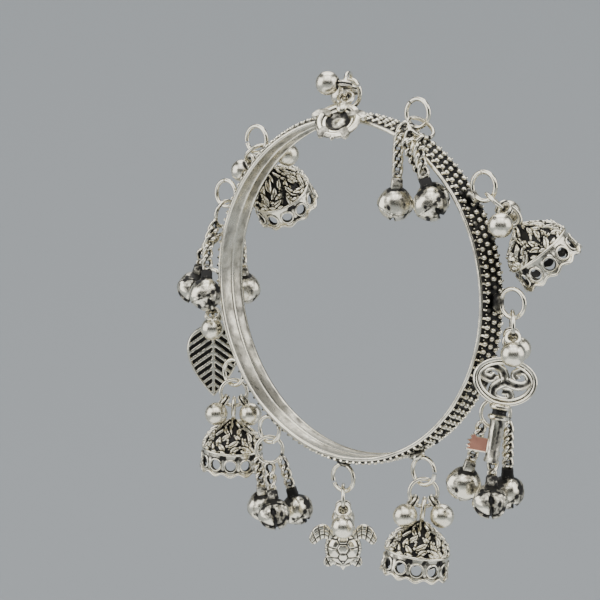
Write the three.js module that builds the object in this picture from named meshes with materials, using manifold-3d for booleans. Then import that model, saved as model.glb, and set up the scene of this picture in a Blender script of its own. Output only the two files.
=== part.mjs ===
// Charm bangle: a cast metal ring with twelve charms on loops that are soldered round its outer face.
// Millimetres, +Z up. The ring lies in the XZ plane with its axis along Y. The origin is the top of its inner
// face, where it hangs, and every charm hangs or leans as it does then.

import * as THREE from 'three';
import { mergeVertices } from 'three/addons/utils/BufferGeometryUtils.js';
import Module from 'manifold-3d';

const wasm = await Module();
wasm.setup();

// Driving dimensions
const FIT_GAP = 0.3;

const BAND = {
  innerRadius: 30.15,
  width: 6.2,
  rimRadius: 31.2,
  rimWidth: 0.5,
  groundRadius: 31.0,
  grainHeight: 0.7,
  crown: 0.12,
  grainRowGap: 1.75,
  grainsPerRow: 132,
  plainColumns: 30,
  channelDepth: 0.25,
  lipWidth: 0.4,
  ridgeOffset: 0.35,
  ridgeHalfWidth: 0.25,
};
const LOOP = { orbit: 35.0, radius: 2.45, wire: 0.4, steps: 10 };
const SOLDER = { orbit: 32.0, along: 1.5, across: 1.3, height: 0.8 };
const RING = { radius: 2.5, wire: 0.36, steps: 10 };
const EYE = { radius: 1.28, wire: 0.42, steps: 8 };
const WIRE_SIDES = 5;

const DROP = { ballRadius: 2.15, eyeInner: 0.85, eyeOuter: 1.45, eyeWidth: 1.0, eyeSides: 6, fall: 3.15 };
const BELL = {
  segments: 24,
  holes: 12,
  holeRadius: 1.0,
  holeDrop: 10.1,
  scallop: 0.2,
  relief: 0.25,
  eyeLength: 1.5,
};
const BELL_OUTSIDE = [
  // radius, drop below the eye, relief (1 where the leaves stand out)
  [6.0, 12.1, 0],
  [5.7, 8.2, 0],
  [5.85, 7.7, 0],
  [4.9, 5.7, 1],
  [3.3, 4.3, 1],
  [1.0, 2.7, 0],
];
const BELL_INSIDE = [
  // radius, drop below the eye
  [2.8, 5.2],
  [4.6, 7.0],
  [5.4, 13.0],
];
const BELL_INSIDE_TOP = 4.4;

const KEY = {
  bowHalfWidth: 5.5,
  bowHalfHeight: 4.15,
  bowDrop: 6.9,
  bowRim: 1.05,
  bowThickness: 1.5,
  armThickness: 0.9,
  barrelDrop: 20.8,
  bitDrop: 18.0,
};
const KEY_TURNINGS = [
  // upper radius, lower radius, upper drop, lower drop
  [0.6, 0.8, 1.3, 3.0],
  [1.85, 1.85, 10.9, 11.7],
  [1.25, 1.25, 11.6, 12.7],
  [1.85, 1.85, 12.6, 13.5],
  [1.4, 1.1, 13.4, KEY.barrelDrop],
];
const KEY_BIT = [
  // along, up
  [-0.6, 1.2],
  [-3.0, 1.2],
  [-3.6, 1.7],
  [-4.2, 1.2],
  [-3.9, 0.7],
  [-4.7, 0.4],
  [-4.0, 0.0],
  [-4.7, -0.5],
  [-4.0, -0.8],
  [-4.6, -1.3],
  [-0.6, -1.3],
];

const TURTLE = { stretch: 1.05, segments: 10, flipperThickness: 0.9, headRadius: 1.25 };
const TURTLE_SIZES = {
  // shell and depth: how large and deep beside the profile below; reach and lift: how far the flippers spread
  // and how high they stand; both drops are below the eye
  turtle: { shell: 1.0, depth: 1.0, reach: 1.0, lift: 1.0, shellDrop: 6.6, headDrop: 2.7 },
  broadTurtle: { shell: 1.22, depth: 0.7, reach: 0.82, lift: 0.6, shellDrop: 5.6, headDrop: 2.2 },
};
const TURTLE_SHELL = [
  // radius, depth behind the rim's plane (the dome stands out to the front)
  [0, -1.7],
  [2.1, -1.3],
  [3.4, 0],
  [3.4, 0.45],
  [2.0, 0.45],
  [1.6, -0.5],
  [0, -0.9],
];
const FRONT_FLIPPER = [
  [1.7, 2.6],
  [2.6, 4.0],
  [3.7, 4.5],
  [5.4, 3.7],
  [6.3, 1.7],
  [5.4, 0.9],
  [4.0, 2.1],
  [2.6, 1.6],
];
const REAR_FLIPPER = [
  [1.5, -2.0],
  [2.4, -1.3],
  [3.2, -1.6],
  [3.6, -2.7],
  [2.5, -3.5],
  [1.3, -2.9],
];

const LEAF = {
  top: 1.4,
  length: 14.0,
  halfWidth: 5.0,
  ground: 0.6,
  relief: 1.1,
  border: 0.55,
  veins: 4,
  veinWidth: 0.6,
  veinSlope: 0.7,
};

const JINGLE = { radius: 3.0, neckRadius: 1.2, neckLength: 2.0 };
const CHAIN = { radius: 0.75, sides: 6, steps: 3 };

// The way the flat charms face, and the way across it
const FACING = [0.643, -0.766, 0];
const BESIDE = [0.766, 0.643, 0];
const DOWN = [0, 0, -1];

// Where a pair of ball drops sits on a jump ring, from its foot, and how far they lean out, in degrees;
// forward: how far they stand out from the ring, as a share of their fall
const BESIDE_BELL = { seat: 50, lean: 32, forward: 0.75 };
const BESIDE_FLAT = { seat: 42, lean: 33, forward: 0 };

// angle: the loop's place round the bangle, from +X towards +Z
// grip: where on the loop the jump ring hangs, as a direction from the loop's centre
// pull: the way the ring hangs; across: the other direction in the ring's plane
// hang: the way the charm hangs; front: the way it faces; seat: its place on the ring, from the foot
// balls: each ball drop's seat on the ring and the way it hangs, where they don't hang as a pair
const CHARMS = [
  { name: 'bell_right', kind: 'bell', angle: 35, grip: -50, pull: [0.57, 0.48, -0.67], across: FACING,
    hang: [0.48, 0.42, -0.77], front: FACING,
    balls: [{ seat: 52, hang: [0.2, -0.66, -0.72] }, { seat: -58, hang: [-0.25, 0.9, -0.35] }] },
  { name: 'key', kind: 'key', angle: 1, grip: -90, pull: DOWN, across: FACING,
    hang: [-0.04, -0.22, -0.975], front: FACING,
    balls: [{ seat: 42, hang: [0.4, -0.5, -0.77] }, { seat: -44, hang: [0.1, 0.55, -0.83] }] },
  { name: 'bell_low', kind: 'bell', angle: 297.5, grip: -90, pull: DOWN, across: BESIDE,
    hang: [-0.1, -0.08, -0.99], front: BESIDE },
  { name: 'turtle_low', kind: 'turtle', angle: 266, grip: -90, pull: DOWN, across: FACING,
    hang: DOWN, front: FACING },
  { name: 'bell_left', kind: 'bell', angle: 212, grip: -90, pull: DOWN, across: BESIDE,
    hang: [-0.1, 0.05, -0.99], front: BESIDE },
  { name: 'leaf', kind: 'leaf', angle: 183, grip: -90, pull: DOWN, across: FACING,
    hang: DOWN, front: FACING, balls: [{ seat: 42, hang: [0.35, -0.42, -0.84] }] },
  { name: 'bell_back', kind: 'bell', angle: 132.5, grip: -109, pull: [0, 0.96, -0.28],
    across: [-0.77, 0, -0.64], hang: [-0.04, 0.61, -0.79], front: [-0.7, -0.4, -0.45], seat: 20,
    balls: [{ seat: 80, hang: [-0.8, 0.1, -0.59] }, { seat: -40, hang: [0.62, 0.75, -0.22] }] },
  { name: 'turtle_top', kind: 'broadTurtle', angle: 92, grip: 90, pull: [0.16, -0.36, -0.92],
    across: [0.4, -0.917, 0], hang: [0.27, -0.69, -0.67], front: [-0.26, 0.62, -0.74], seat: 22,
    balls: [{ seat: 80, hang: [-0.9, -0.42, 0.05] }, { seat: -95, hang: [-0.93, 0.2, -0.3] }] },
];

// Each tassel's chains: seat on the ring, the point that the chain bends through, if it isn't straight,
// and the jingle bell's centre, both from the loop's centre
const TASSELS = [
  { name: 'tassel_top', angle: 66, grip: -54, pull: [0.19, -0.94, -0.28], across: [0.73, 0.32, -0.58],
    chains: [
      { seat: -60, via: [-0.5, -4.4, -4.0], bell: [-0.9, -4.8, -15.5] },
      { seat: -10, via: [1.8, -4.8, -5.4], bell: [3.0, 0.7, -14.7] },
      { seat: 40, via: [3.6, -4.2, -6.1], bell: [6.5, -4.5, -15.1] },
    ] },
  { name: 'tassel_right', angle: 335, grip: -90, pull: DOWN, across: BESIDE,
    chains: [
      { seat: -60, bell: [-5.1, -2.0, -16.7] },
      { seat: 0, bell: [1.4, -3.2, -18.7] },
      { seat: 60, bell: [0.4, 3.1, -18.2] },
    ] },
  { name: 'tassel_low', angle: 234, grip: -90, pull: DOWN, across: BESIDE,
    chains: [
      { seat: -60, bell: [-2.7, 1.4, -15.3] },
      { seat: 0, bell: [2.9, -1.9, -15.5] },
      { seat: 60, bell: [2.9, 4.6, -15.7] },
    ] },
  { name: 'tassel_left', angle: 154, grip: -90, pull: [-0.2, 0, -0.98], across: [0, -1, 0],
    chains: [
      { seat: -60, via: [-0.5, 4.4, -9.2], bell: [-0.9, 6.0, -18.7] },
      { seat: 0, via: [-2.9, -3.0, -10.7], bell: [-3.9, -5.0, -17.8] },
      { seat: 60, via: [0.6, -5.5, -9.2], bell: [1.9, -7.7, -18.2] },
    ] },
];

const SILVER = { color: 0xcfcabb, roughness: 0.3, metalness: 1.0 };
const DARKENED = { color: 0x9d998d, roughness: 0.4, metalness: 1.0 };

const rad = THREE.MathUtils.degToRad;
const vector = ([x, y, z]) => new THREE.Vector3(x, y, z);
const unit = (list) => vector(list).normalize();

/** A geometry's closed solid, with shared corners merged and empty triangles left out. */
function toSolid(geometry) {
  const bare = geometry.clone();
  bare.deleteAttribute('normal');
  bare.deleteAttribute('uv');
  const merged = mergeVertices(bare, 1e-4);
  const corners = [];
  for (let i = 0; i < merged.index.count; i += 3) {
    const [a, b, c] = [0, 1, 2].map((k) => merged.index.getX(i + k));
    if (a !== b && b !== c && c !== a) {
      corners.push(a, b, c);
    }
  }
  return new wasm.Manifold(new wasm.Mesh({
    numProp: 3,
    vertProperties: new Float32Array(merged.attributes.position.array),
    triVerts: new Uint32Array(corners),
  }));
}

function toGeometry(solid) {
  const mesh = solid.getMesh();
  const geometry = new THREE.BufferGeometry();
  geometry.setAttribute('position', new THREE.BufferAttribute(mesh.vertProperties, 3));
  geometry.setIndex(new THREE.BufferAttribute(mesh.triVerts, 1));
  geometry.computeVertexNormals();
  return geometry;
}

/** One solid of several geometries that are cast or soldered together. */
function fused(geometries) {
  return geometries.map(toSolid).reduce((whole, piece) => whole.add(piece));
}

/** A flat outline in X and Z, drawn from [x, z] points, with its thickness centred on Y. */
function plate(points, thickness, holes = []) {
  const shape = new THREE.Shape(points.map(([x, z]) => new THREE.Vector2(x, z)));
  holes.forEach((hole) => shape.holes.push(new THREE.Path(hole.map(([x, z]) => new THREE.Vector2(x, z)))));
  return new THREE.ExtrudeGeometry(shape, { depth: thickness, bevelEnabled: false })
    .rotateX(Math.PI / 2)
    .translate(0, thickness / 2, 0);
}

/** A wire ring round the Y axis; its straight steps touch the true circle, with one at the top and bottom. */
function wireRing({ radius, wire, steps }) {
  const halfStep = Math.PI / steps;
  return new THREE.TorusGeometry(radius / Math.cos(halfStep), wire, WIRE_SIDES, steps)
    .rotateZ(Math.PI / 2 + halfStep)
    .rotateX(Math.PI / 2);
}

/** A tube along a curve through some points. */
function tube(points, radius, sides, steps) {
  const section = new THREE.Shape();
  for (let i = 0; i < sides; i += 1) {
    const turn = (2 * Math.PI * i) / sides;
    const corner = [radius * Math.cos(turn), radius * Math.sin(turn)];
    if (i === 0) {
      section.moveTo(...corner);
    } else {
      section.lineTo(...corner);
    }
  }
  const path = new THREE.CatmullRomCurve3(points);
  return new THREE.ExtrudeGeometry(section, { steps, extrudePath: path, bevelEnabled: false });
}

/** The rows of points along the band, in order round its section: the outer face, then the inner one. */
function bandRows() {
  const half = BAND.width / 2;
  const lip = half - BAND.lipWidth;
  const channel = BAND.innerRadius + BAND.channelDepth;
  const plain = (y, radius) => ({ y, columns: BAND.plainColumns, radiusAt: () => radius });
  const grains = (y, phase, crown) => ({
    y,
    columns: 2 * BAND.grainsPerRow,
    radiusAt: (k) => BAND.groundRadius + ((k + phase) % 2) * (BAND.grainHeight + crown),
  });
  return [
    plain(-half, BAND.rimRadius),
    plain(-half + BAND.rimWidth, BAND.rimRadius),
    grains(-BAND.grainRowGap, 0, 0),
    grains(0, 1, BAND.crown),
    grains(BAND.grainRowGap, 0, 0),
    plain(half - BAND.rimWidth, BAND.rimRadius),
    plain(half, BAND.rimRadius),
    plain(half, BAND.innerRadius),
    plain(lip, BAND.innerRadius),
    plain(lip - BAND.channelDepth, channel),
    plain(BAND.ridgeOffset + BAND.ridgeHalfWidth, channel),
    plain(BAND.ridgeOffset, BAND.innerRadius),
    plain(BAND.ridgeOffset - BAND.ridgeHalfWidth, channel),
    plain(-lip + BAND.channelDepth, channel),
    plain(-lip, BAND.innerRadius),
    plain(-half, BAND.innerRadius),
  ];
}

/** A closed surface stitched through rows of points round the Y axis; valleys run straight between grains. */
function stitched(rows) {
  const positions = [];
  const starts = [];
  rows.forEach(({ y, columns, radiusAt }) => {
    starts.push(positions.length / 3);
    for (let k = 0; k < columns; k += 1) {
      const turn = (2 * Math.PI * k) / columns;
      positions.push(radiusAt(k) * Math.cos(turn), y, radiusAt(k) * Math.sin(turn));
    }
  });
  const triangles = [];
  rows.forEach((row, index) => {
    const nextIndex = (index + 1) % rows.length;
    const next = rows[nextIndex];
    const here = (k) => starts[index] + (k % row.columns);
    const there = (k) => starts[nextIndex] + (k % next.columns);
    let i = 0;
    let j = 0;
    while (i < row.columns || j < next.columns) {
      const hereTurn = (i + 1) / row.columns;
      const thereTurn = (j + 1) / next.columns;
      const hereLow = row.radiusAt(i + 1) + next.radiusAt(j) < row.radiusAt(i) + next.radiusAt(j + 1);
      if (hereTurn < thereTurn || (hereTurn === thereTurn && hereLow)) {
        triangles.push(here(i), there(j), here(i + 1));
        i += 1;
      } else {
        triangles.push(here(i), there(j), there(j + 1));
        j += 1;
      }
    }
  });
  const geometry = new THREE.BufferGeometry();
  geometry.setAttribute('position', new THREE.Float32BufferAttribute(positions, 3));
  geometry.setIndex(triangles);
  return geometry;
}

/** A profile of [radius, drop] points turned round the Y axis, the drop counted down from the origin. */
function turned(profile, segments) {
  return new THREE.LatheGeometry(profile.map(([radius, drop]) => new THREE.Vector2(radius, -drop)), segments);
}

function loopCentre(angle) {
  return new THREE.Vector3(LOOP.orbit * Math.cos(rad(angle)), 0, LOOP.orbit * Math.sin(rad(angle)));
}

/** The band with its loops and the solder that holds them. */
function bandGeometry() {
  const pieces = [stitched(bandRows())];
  [...CHARMS, ...TASSELS].forEach(({ angle }) => {
    const centre = loopCentre(angle);
    pieces.push(wireRing(LOOP).translate(centre.x, centre.y, centre.z));
    pieces.push(new THREE.SphereGeometry(1, 5, 2)
      .scale(SOLDER.along, SOLDER.across, SOLDER.height)
      .translate(0, 0, SOLDER.orbit)
      .rotateY(rad(90 - angle)));
  });
  return toGeometry(fused(pieces));
}

function dropGeometry() {
  const half = DROP.eyeWidth / 2;
  const ribbon = [
    [DROP.eyeInner, -half],
    [DROP.eyeOuter, -half],
    [DROP.eyeOuter, half],
    [DROP.eyeInner, half],
    [DROP.eyeInner, -half],
  ].map(([radius, y]) => new THREE.Vector2(radius, y));
  const ball = new THREE.SphereGeometry(DROP.ballRadius, 10, 5).rotateX(Math.PI / 2);
  return toGeometry(fused([
    new THREE.LatheGeometry(ribbon, DROP.eyeSides),
    ball.translate(0, 0, -DROP.fall),
  ]));
}

/** The bell's outside, turned round its axis, with the leaves raised on the dome and the edge scalloped. */
function bellOutside() {
  const bottom = BELL_OUTSIDE[0][1];
  const profile = [[0, bottom, 0], ...BELL_OUTSIDE, [0, BELL_OUTSIDE.at(-1)[1], 0]];
  const wall = turned(profile, BELL.segments);
  const place = wall.attributes.position;
  for (let i = 0; i <= BELL.segments; i += 1) {
    profile.forEach(([radius, drop, relief], j) => {
      const k = i * profile.length + j;
      if (relief) {
        const raised = radius + (((i + j) % 2) * 2 - 1) * BELL.relief;
        place.setX(k, (place.getX(k) * raised) / radius);
        place.setZ(k, (place.getZ(k) * raised) / radius);
      }
      if (drop === bottom && radius > 0) {
        place.setY(k, place.getY(k) + ((i % 2) * 2 - 1) * BELL.scallop);
      }
    });
  }
  return wall.rotateX(Math.PI / 2);
}

/** The hollow of the bell, with one flat behind each hole of the rim. */
function bellInside() {
  const mouth = BELL_INSIDE.at(-1)[1];
  const profile = [[0, mouth], ...[...BELL_INSIDE].reverse(), [0, BELL_INSIDE_TOP]];
  return turned(profile, BELL.holes).rotateY(Math.PI / BELL.holes).rotateX(Math.PI / 2);
}

function bellGeometry() {
  const top = EYE.radius - EYE.wire;
  const eye = wireRing(EYE).translate(0, 0, -top).scale(1, 1, BELL.eyeLength).translate(0, 0, top);
  let bell = fused([bellOutside(), eye]).subtract(toSolid(bellInside()));
  const reach = BELL_OUTSIDE[0][0];
  for (let i = 0; i < BELL.holes; i += 1) {
    const hole = new THREE.CylinderGeometry(BELL.holeRadius, BELL.holeRadius, reach / 2, 5)
      .translate(0, reach, 0)
      .rotateZ((2 * Math.PI * i) / BELL.holes)
      .translate(0, 0, -BELL.holeDrop);
    bell = bell.subtract(toSolid(hole));
  }
  return toGeometry(bell);
}

/** A closed oval of [x, z] points that is a little broader above its middle. */
function bowOval(halfWidth, halfHeight, count) {
  return Array.from({ length: count }, (_, i) => {
    const turn = (2 * Math.PI * i) / count;
    const broad = 1 + 0.07 * Math.sin(turn);
    return [halfWidth * broad * Math.cos(turn), halfHeight * Math.sin(turn) - KEY.bowDrop];
  });
}

/** One arm of the bow's scroll: it runs out from the middle to the rim and curls back. */
function scrollArm(index) {
  const lengthen = KEY.bowHalfWidth / KEY.bowHalfHeight;
  const reach = KEY.bowHalfHeight - KEY.bowRim / 2;
  const steps = [
    // share of the reach, degrees round
    [0, 0],
    [0.5, 10],
    [0.95, 38],
    [0.8, 72],
    [0.42, 66],
  ];
  const points = steps.map(([share, degrees]) => {
    const turn = rad(100 + 120 * index + degrees);
    const out = share * reach;
    return new THREE.Vector3(lengthen * out * Math.cos(turn), 0, out * Math.sin(turn) - KEY.bowDrop);
  });
  return tube(points, KEY.armThickness / 2, 4, 6);
}

function keyGeometry() {
  const inner = [KEY.bowHalfWidth - KEY.bowRim, KEY.bowHalfHeight - KEY.bowRim];
  const bow = plate(
    bowOval(KEY.bowHalfWidth, KEY.bowHalfHeight, 18),
    KEY.bowThickness,
    [bowOval(...inner, 14)],
  );
  const turnings = KEY_TURNINGS.map(([upper, lower, from, to]) => (
    new THREE.CylinderGeometry(upper, lower, to - from, 8)
      .rotateX(Math.PI / 2)
      .translate(0, 0, -(from + to) / 2)
  ));
  const bit = plate(KEY_BIT, 1.2).translate(0, 0, -KEY.bitDrop);
  const arms = [0, 1, 2].map(scrollArm);
  return toGeometry(fused([bow, ...turnings, bit, ...arms, wireRing(EYE)]));
}

function turtleGeometry({ shell, depth, reach, lift, shellDrop, headDrop }) {
  const dome = new THREE.LatheGeometry(
    TURTLE_SHELL.map(([radius, behind]) => new THREE.Vector2(radius * shell, behind * depth)),
    TURTLE.segments,
  ).scale(1, 1, TURTLE.stretch);
  const mirrored = (points) => points.map(([x, z]) => [-x, z]).reverse();
  const flippers = [FRONT_FLIPPER, REAR_FLIPPER]
    .map((points) => points.map(([x, z]) => [x * reach, z > 0 ? z * lift : z * shell]))
    .flatMap((points) => [points, mirrored(points)])
    .map((points) => plate(points, TURTLE.flipperThickness));
  const rump = -3.0 * shell;
  const tail = plate([[-0.9, rump], [0, rump - 1.1], [0.9, rump]], TURTLE.flipperThickness);
  const body = fused([dome, ...flippers, tail]).translate([0, 0, -shellDrop]);
  const head = new THREE.SphereGeometry(TURTLE.headRadius, 6, 5).scale(0.9, 0.7, 1.2);
  return toGeometry(fused([head.translate(0, 0, -headDrop), wireRing(EYE)]).add(body));
}

/** The leaf's outline, shrunk by a margin: broad below the eye and drawn to a point. */
function leafOutline(margin) {
  const width = LEAF.halfWidth - margin;
  const top = -LEAF.top - margin;
  const tip = -LEAF.top - LEAF.length + 2 * margin;
  const shape = new THREE.Shape();
  shape.moveTo(0, top);
  const shoulder = 0.6 * top + 0.4 * tip;
  shape.bezierCurveTo(width, top, 1.68 * width, shoulder, 0, tip);
  shape.bezierCurveTo(-1.68 * width, shoulder, -width, top, 0, top);
  return shape.getPoints(7).slice(0, -1).map(({ x, y }) => [x, y]);
}

/** A solid leaf with a plain back: its border, midrib and veins stand out from a sunk front. */
function leafGeometry() {
  const ribs = [new THREE.BoxGeometry(LEAF.veinWidth, 2 * LEAF.relief, 2 * LEAF.length)];
  const reach = 2 * LEAF.halfWidth;
  for (let i = 0; i < LEAF.veins; i += 1) {
    [-1, 1].forEach((side) => {
      ribs.push(new THREE.BoxGeometry(reach, 2 * LEAF.relief, LEAF.veinWidth)
        .translate((side * reach) / 2, 0, 0)
        .rotateY(side * LEAF.veinSlope)
        .translate(0, 0, -LEAF.top - (LEAF.length * i) / (LEAF.veins + 1.5)));
    });
  }
  const sunk = toSolid(plate(leafOutline(LEAF.border), LEAF.relief))
    .translate([0, -LEAF.ground, 0])
    .subtract(fused(ribs));
  return toGeometry(fused([plate(leafOutline(0), LEAF.relief), wireRing(EYE)]).subtract(sunk));
}

function jingleGeometry() {
  const ball = new THREE.SphereGeometry(JINGLE.radius, 10, 5).rotateX(Math.PI / 2);
  const neck = new THREE.CylinderGeometry(JINGLE.neckRadius, JINGLE.neckRadius, JINGLE.neckLength + 1, 6)
    .rotateX(Math.PI / 2)
    .translate(0, 0, JINGLE.radius + (JINGLE.neckLength - 1) / 2);
  return toGeometry(fused([ball, neck]));
}

/** Turns and places a piece whose own axes are -Z down and -Y to the front. */
function placed(mesh, origin, down, front) {
  const up = down.clone().negate();
  const back = front.clone().addScaledVector(down, -front.dot(down)).normalize().negate();
  const right = back.clone().cross(up);
  mesh.position.copy(origin);
  mesh.quaternion.setFromRotationMatrix(new THREE.Matrix4().makeBasis(right, back, up));
  return mesh;
}

function piece(name, geometry, finish) {
  const mesh = new THREE.Mesh(geometry, new THREE.MeshStandardMaterial(finish));
  mesh.name = name;
  return mesh;
}

/** A jump ring's place on its loop, with a function for the points and wire directions round it. */
function hungRing({ angle, grip, pull, across }) {
  const down = unit(pull);
  const side = vector(across).addScaledVector(down, -vector(across).dot(down)).normalize();
  const clear = RING.radius - RING.wire - LOOP.wire - FIT_GAP;
  const centre = loopCentre(angle)
    .add(new THREE.Vector3(Math.cos(rad(grip)), 0, Math.sin(rad(grip))).multiplyScalar(LOOP.radius))
    .addScaledVector(down, clear);
  const at = (seat) => ({
    point: centre.clone()
      .addScaledVector(down, RING.radius * Math.cos(rad(seat)))
      .addScaledVector(side, RING.radius * Math.sin(rad(seat))),
    along: side.clone().multiplyScalar(Math.cos(rad(seat))).addScaledVector(down, -Math.sin(rad(seat))),
  });
  return { centre, down, side, normal: side.clone().cross(down), at };
}

/** Two ball drops, one on each side of the charm. */
function pairOfBalls({ down, side, normal }, { seat, lean, forward }) {
  return [1, -1].map((way) => ({
    seat: way * seat,
    hang: down.clone().multiplyScalar(Math.cos(rad(lean)))
      .addScaledVector(side, way * Math.sin(rad(lean)))
      .addScaledVector(normal, -forward)
      .toArray(),
  }));
}

const GEOMETRY = {
  ring: toGeometry(toSolid(wireRing(RING))),
  drop: dropGeometry(),
  bell: bellGeometry(),
  key: keyGeometry(),
  turtle: turtleGeometry(TURTLE_SIZES.turtle),
  broadTurtle: turtleGeometry(TURTLE_SIZES.broadTurtle),
  leaf: leafGeometry(),
  jingle: jingleGeometry(),
};

function addRing(group, name, ring) {
  group.add(placed(piece(`${name}_ring`, GEOMETRY.ring, SILVER), ring.centre, ring.down, ring.normal));
}

/** A charm on its jump ring, with its ball drops. */
function addCharm(group, charm) {
  const { name, kind, hang, front, seat = 0 } = charm;
  const ring = hungRing(charm);
  addRing(group, name, ring);
  const drop = EYE.radius - EYE.wire - RING.wire - FIT_GAP;
  const eye = ring.at(seat).point.addScaledVector(unit(hang), drop);
  group.add(placed(piece(name, GEOMETRY[kind], SILVER), eye, unit(hang), unit(front)));
  const balls = charm.balls ?? pairOfBalls(ring, kind === 'bell' ? BESIDE_BELL : BESIDE_FLAT);
  balls.forEach((ball, i) => {
    const place = ring.at(ball.seat);
    const mesh = piece(`${name}_ball_${i + 1}`, GEOMETRY.drop, SILVER);
    group.add(placed(mesh, place.point, unit(ball.hang), place.along));
  });
}

/** Three chains on one jump ring, each from the ring's wire to the neck of its jingle bell. */
function addTassel(group, tassel) {
  const ring = hungRing(tassel);
  addRing(group, tassel.name, ring);
  const loop = loopCentre(tassel.angle);
  tassel.chains.forEach((chain, i) => {
    const bell = vector(chain.bell).add(loop);
    const bend = chain.via ? [vector(chain.via).add(loop)] : [];
    const wire = ring.at(chain.seat).point;
    const towardsBell = (bend[0] ?? bell).clone().sub(wire).normalize();
    const axis = bell.clone().sub(bend[0] ?? wire).normalize();
    const outward = wire.clone().sub(ring.centre).normalize();
    const slant = Math.sqrt(1 - outward.dot(towardsBell) ** 2);
    const start = wire.addScaledVector(outward, RING.wire + FIT_GAP + CHAIN.radius * slant);
    const end = bell.clone().addScaledVector(axis, -(JINGLE.radius + JINGLE.neckLength + FIT_GAP));
    const steps = CHAIN.steps + bend.length;
    const body = tube([start, ...bend, end], CHAIN.radius, CHAIN.sides, steps);
    group.add(piece(`${tassel.name}_chain_${i + 1}`, body, DARKENED));
    const jingle = piece(`${tassel.name}_jingle_${i + 1}`, GEOMETRY.jingle, SILVER);
    group.add(placed(jingle, bell, axis, vector(FACING)));
  });
}

const ring = new THREE.Group();
ring.position.z = -BAND.innerRadius;
ring.add(piece('band', bandGeometry(), SILVER));
CHARMS.forEach((charm) => addCharm(ring, charm));
TASSELS.forEach((tassel) => addTassel(ring, tassel));

const charmBangle = new THREE.Group();
charmBangle.add(ring);

export default charmBangle;
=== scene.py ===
"""Charm bangle in antique silver.

A grained band, charms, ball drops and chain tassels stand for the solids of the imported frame.
"""

from __future__ import annotations

import logging
import math
from dataclasses import dataclass
from enum import Enum

import bmesh
import bpy
import numpy as np
from mathutils import Matrix, Vector


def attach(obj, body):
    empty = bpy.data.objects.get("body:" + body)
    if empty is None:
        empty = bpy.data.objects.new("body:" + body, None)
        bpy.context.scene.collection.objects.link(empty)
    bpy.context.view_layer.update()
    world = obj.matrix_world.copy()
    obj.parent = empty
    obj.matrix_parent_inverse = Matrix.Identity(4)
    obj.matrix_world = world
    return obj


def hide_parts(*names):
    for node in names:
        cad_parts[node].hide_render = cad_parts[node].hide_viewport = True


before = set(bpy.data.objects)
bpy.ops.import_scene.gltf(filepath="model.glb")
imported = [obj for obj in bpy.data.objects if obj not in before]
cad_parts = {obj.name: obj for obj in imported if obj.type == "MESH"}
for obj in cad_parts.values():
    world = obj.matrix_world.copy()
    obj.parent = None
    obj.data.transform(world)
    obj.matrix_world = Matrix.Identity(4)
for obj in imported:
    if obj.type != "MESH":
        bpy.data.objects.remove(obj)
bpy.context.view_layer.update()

Vec = np.ndarray
Colour = tuple[float, float, float]
Pair = tuple[float, float]
Edge = tuple[Pair, ...]
Triple = tuple[float, float, float]
Socket = bpy.types.NodeSocket
Inputs = dict[str | int, object]

log = logging.getLogger("charm_bangle")

# Sizes are in millimetres about the middle of the band; the mesh code turns them into metres.
MM = 0.001
# The band's inner radius, which is also how far its middle hangs below the origin.
RING_DROP = 30.15
CENTRE = Matrix.Translation((0.0, 0.0, -RING_DROP * MM))
# The loops on the band, and the jump rings that hang from the loops' wire.
LOOP_ORBIT = 35.0
LOOP_RADIUS = 2.45
RING_RADIUS = 2.5
RING_FALL = 1.44
# Directions that many pieces share: to the front, to the right of it, straight down and straight up.
FACING: Triple = (0.643, -0.766, 0.0)
BESIDE: Triple = (0.766, 0.643, 0.0)
DOWN: Triple = (0.0, 0.0, -1.0)
UP: Triple = (0.0, 0.0, 1.0)


def unit(direction: Vec | Triple) -> Vec:
    """Gives the direction with a length of one."""
    direction = np.asarray(direction, float)
    return direction / np.linalg.norm(direction)


def square_to(direction: Vec | Triple, axis: Vec) -> Vec:
    """Gives the unit part of a direction that stands square to an axis."""
    direction = np.asarray(direction, float)
    return unit(direction - direction.dot(axis) * axis)


def ease(value: Vec, low: float, high: float) -> Vec:
    """Rises smoothly from 0 at low to 1 at high."""
    share = np.clip((value - low) / (high - low), 0.0, 1.0)
    return share * share * (3.0 - 2.0 * share)


def place(origin: Vec, down: Vec | Triple, front: Vec | Triple) -> Matrix:
    """Places a piece that was modelled hanging along -Z and facing -Y.

    Args:
        origin: Where the piece's own origin goes, about the band's middle.
        down: The direction it hangs in.
        front: The direction it faces, before it is squared to down.

    Returns:
        The piece's place in the part's frame, in metres.
    """
    up = -unit(down)
    back = -square_to(front, up)
    axes = np.column_stack((np.cross(back, up), back, up))
    shift = (origin - np.array((0.0, 0.0, RING_DROP))) * MM
    rows = [[*axes[i], shift[i]] for i in range(3)]
    return Matrix([*rows, [0.0, 0.0, 0.0, 1.0]])


def smooth_line(knots: Vec | list | tuple, count: int) -> Vec:
    """Runs a smooth line through knots.

    Args:
        knots: The points that the line passes.
        count: How many points to give.

    Returns:
        The points of the line, one row each.
    """
    knots = np.asarray(knots, float)
    spans = len(knots) - 1
    at = np.linspace(0.0, spans, count)
    first = np.minimum(at.astype(int), spans - 1)
    t = (at - first)[:, None]
    a, b, c, d = (np.take(knots, first + i, axis=0, mode="clip") for i in (-1, 0, 1, 2))
    bend = (2 * a - 5 * b + 4 * c - d) * t**2 + (3 * b - a - 3 * c + d) * t**3
    return 0.5 * (2 * b + (c - a) * t + bend)


def outward(angle: float) -> Vec:
    """Gives the direction away from the band's middle at an angle round it, in radians."""
    return np.array((math.cos(angle), 0.0, math.sin(angle)))


def whole_turn(count: int) -> Vec:
    """Gives angles spread evenly over a whole turn, in radians."""
    return np.linspace(0.0, 2 * math.pi, count, endpoint=False)


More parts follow.
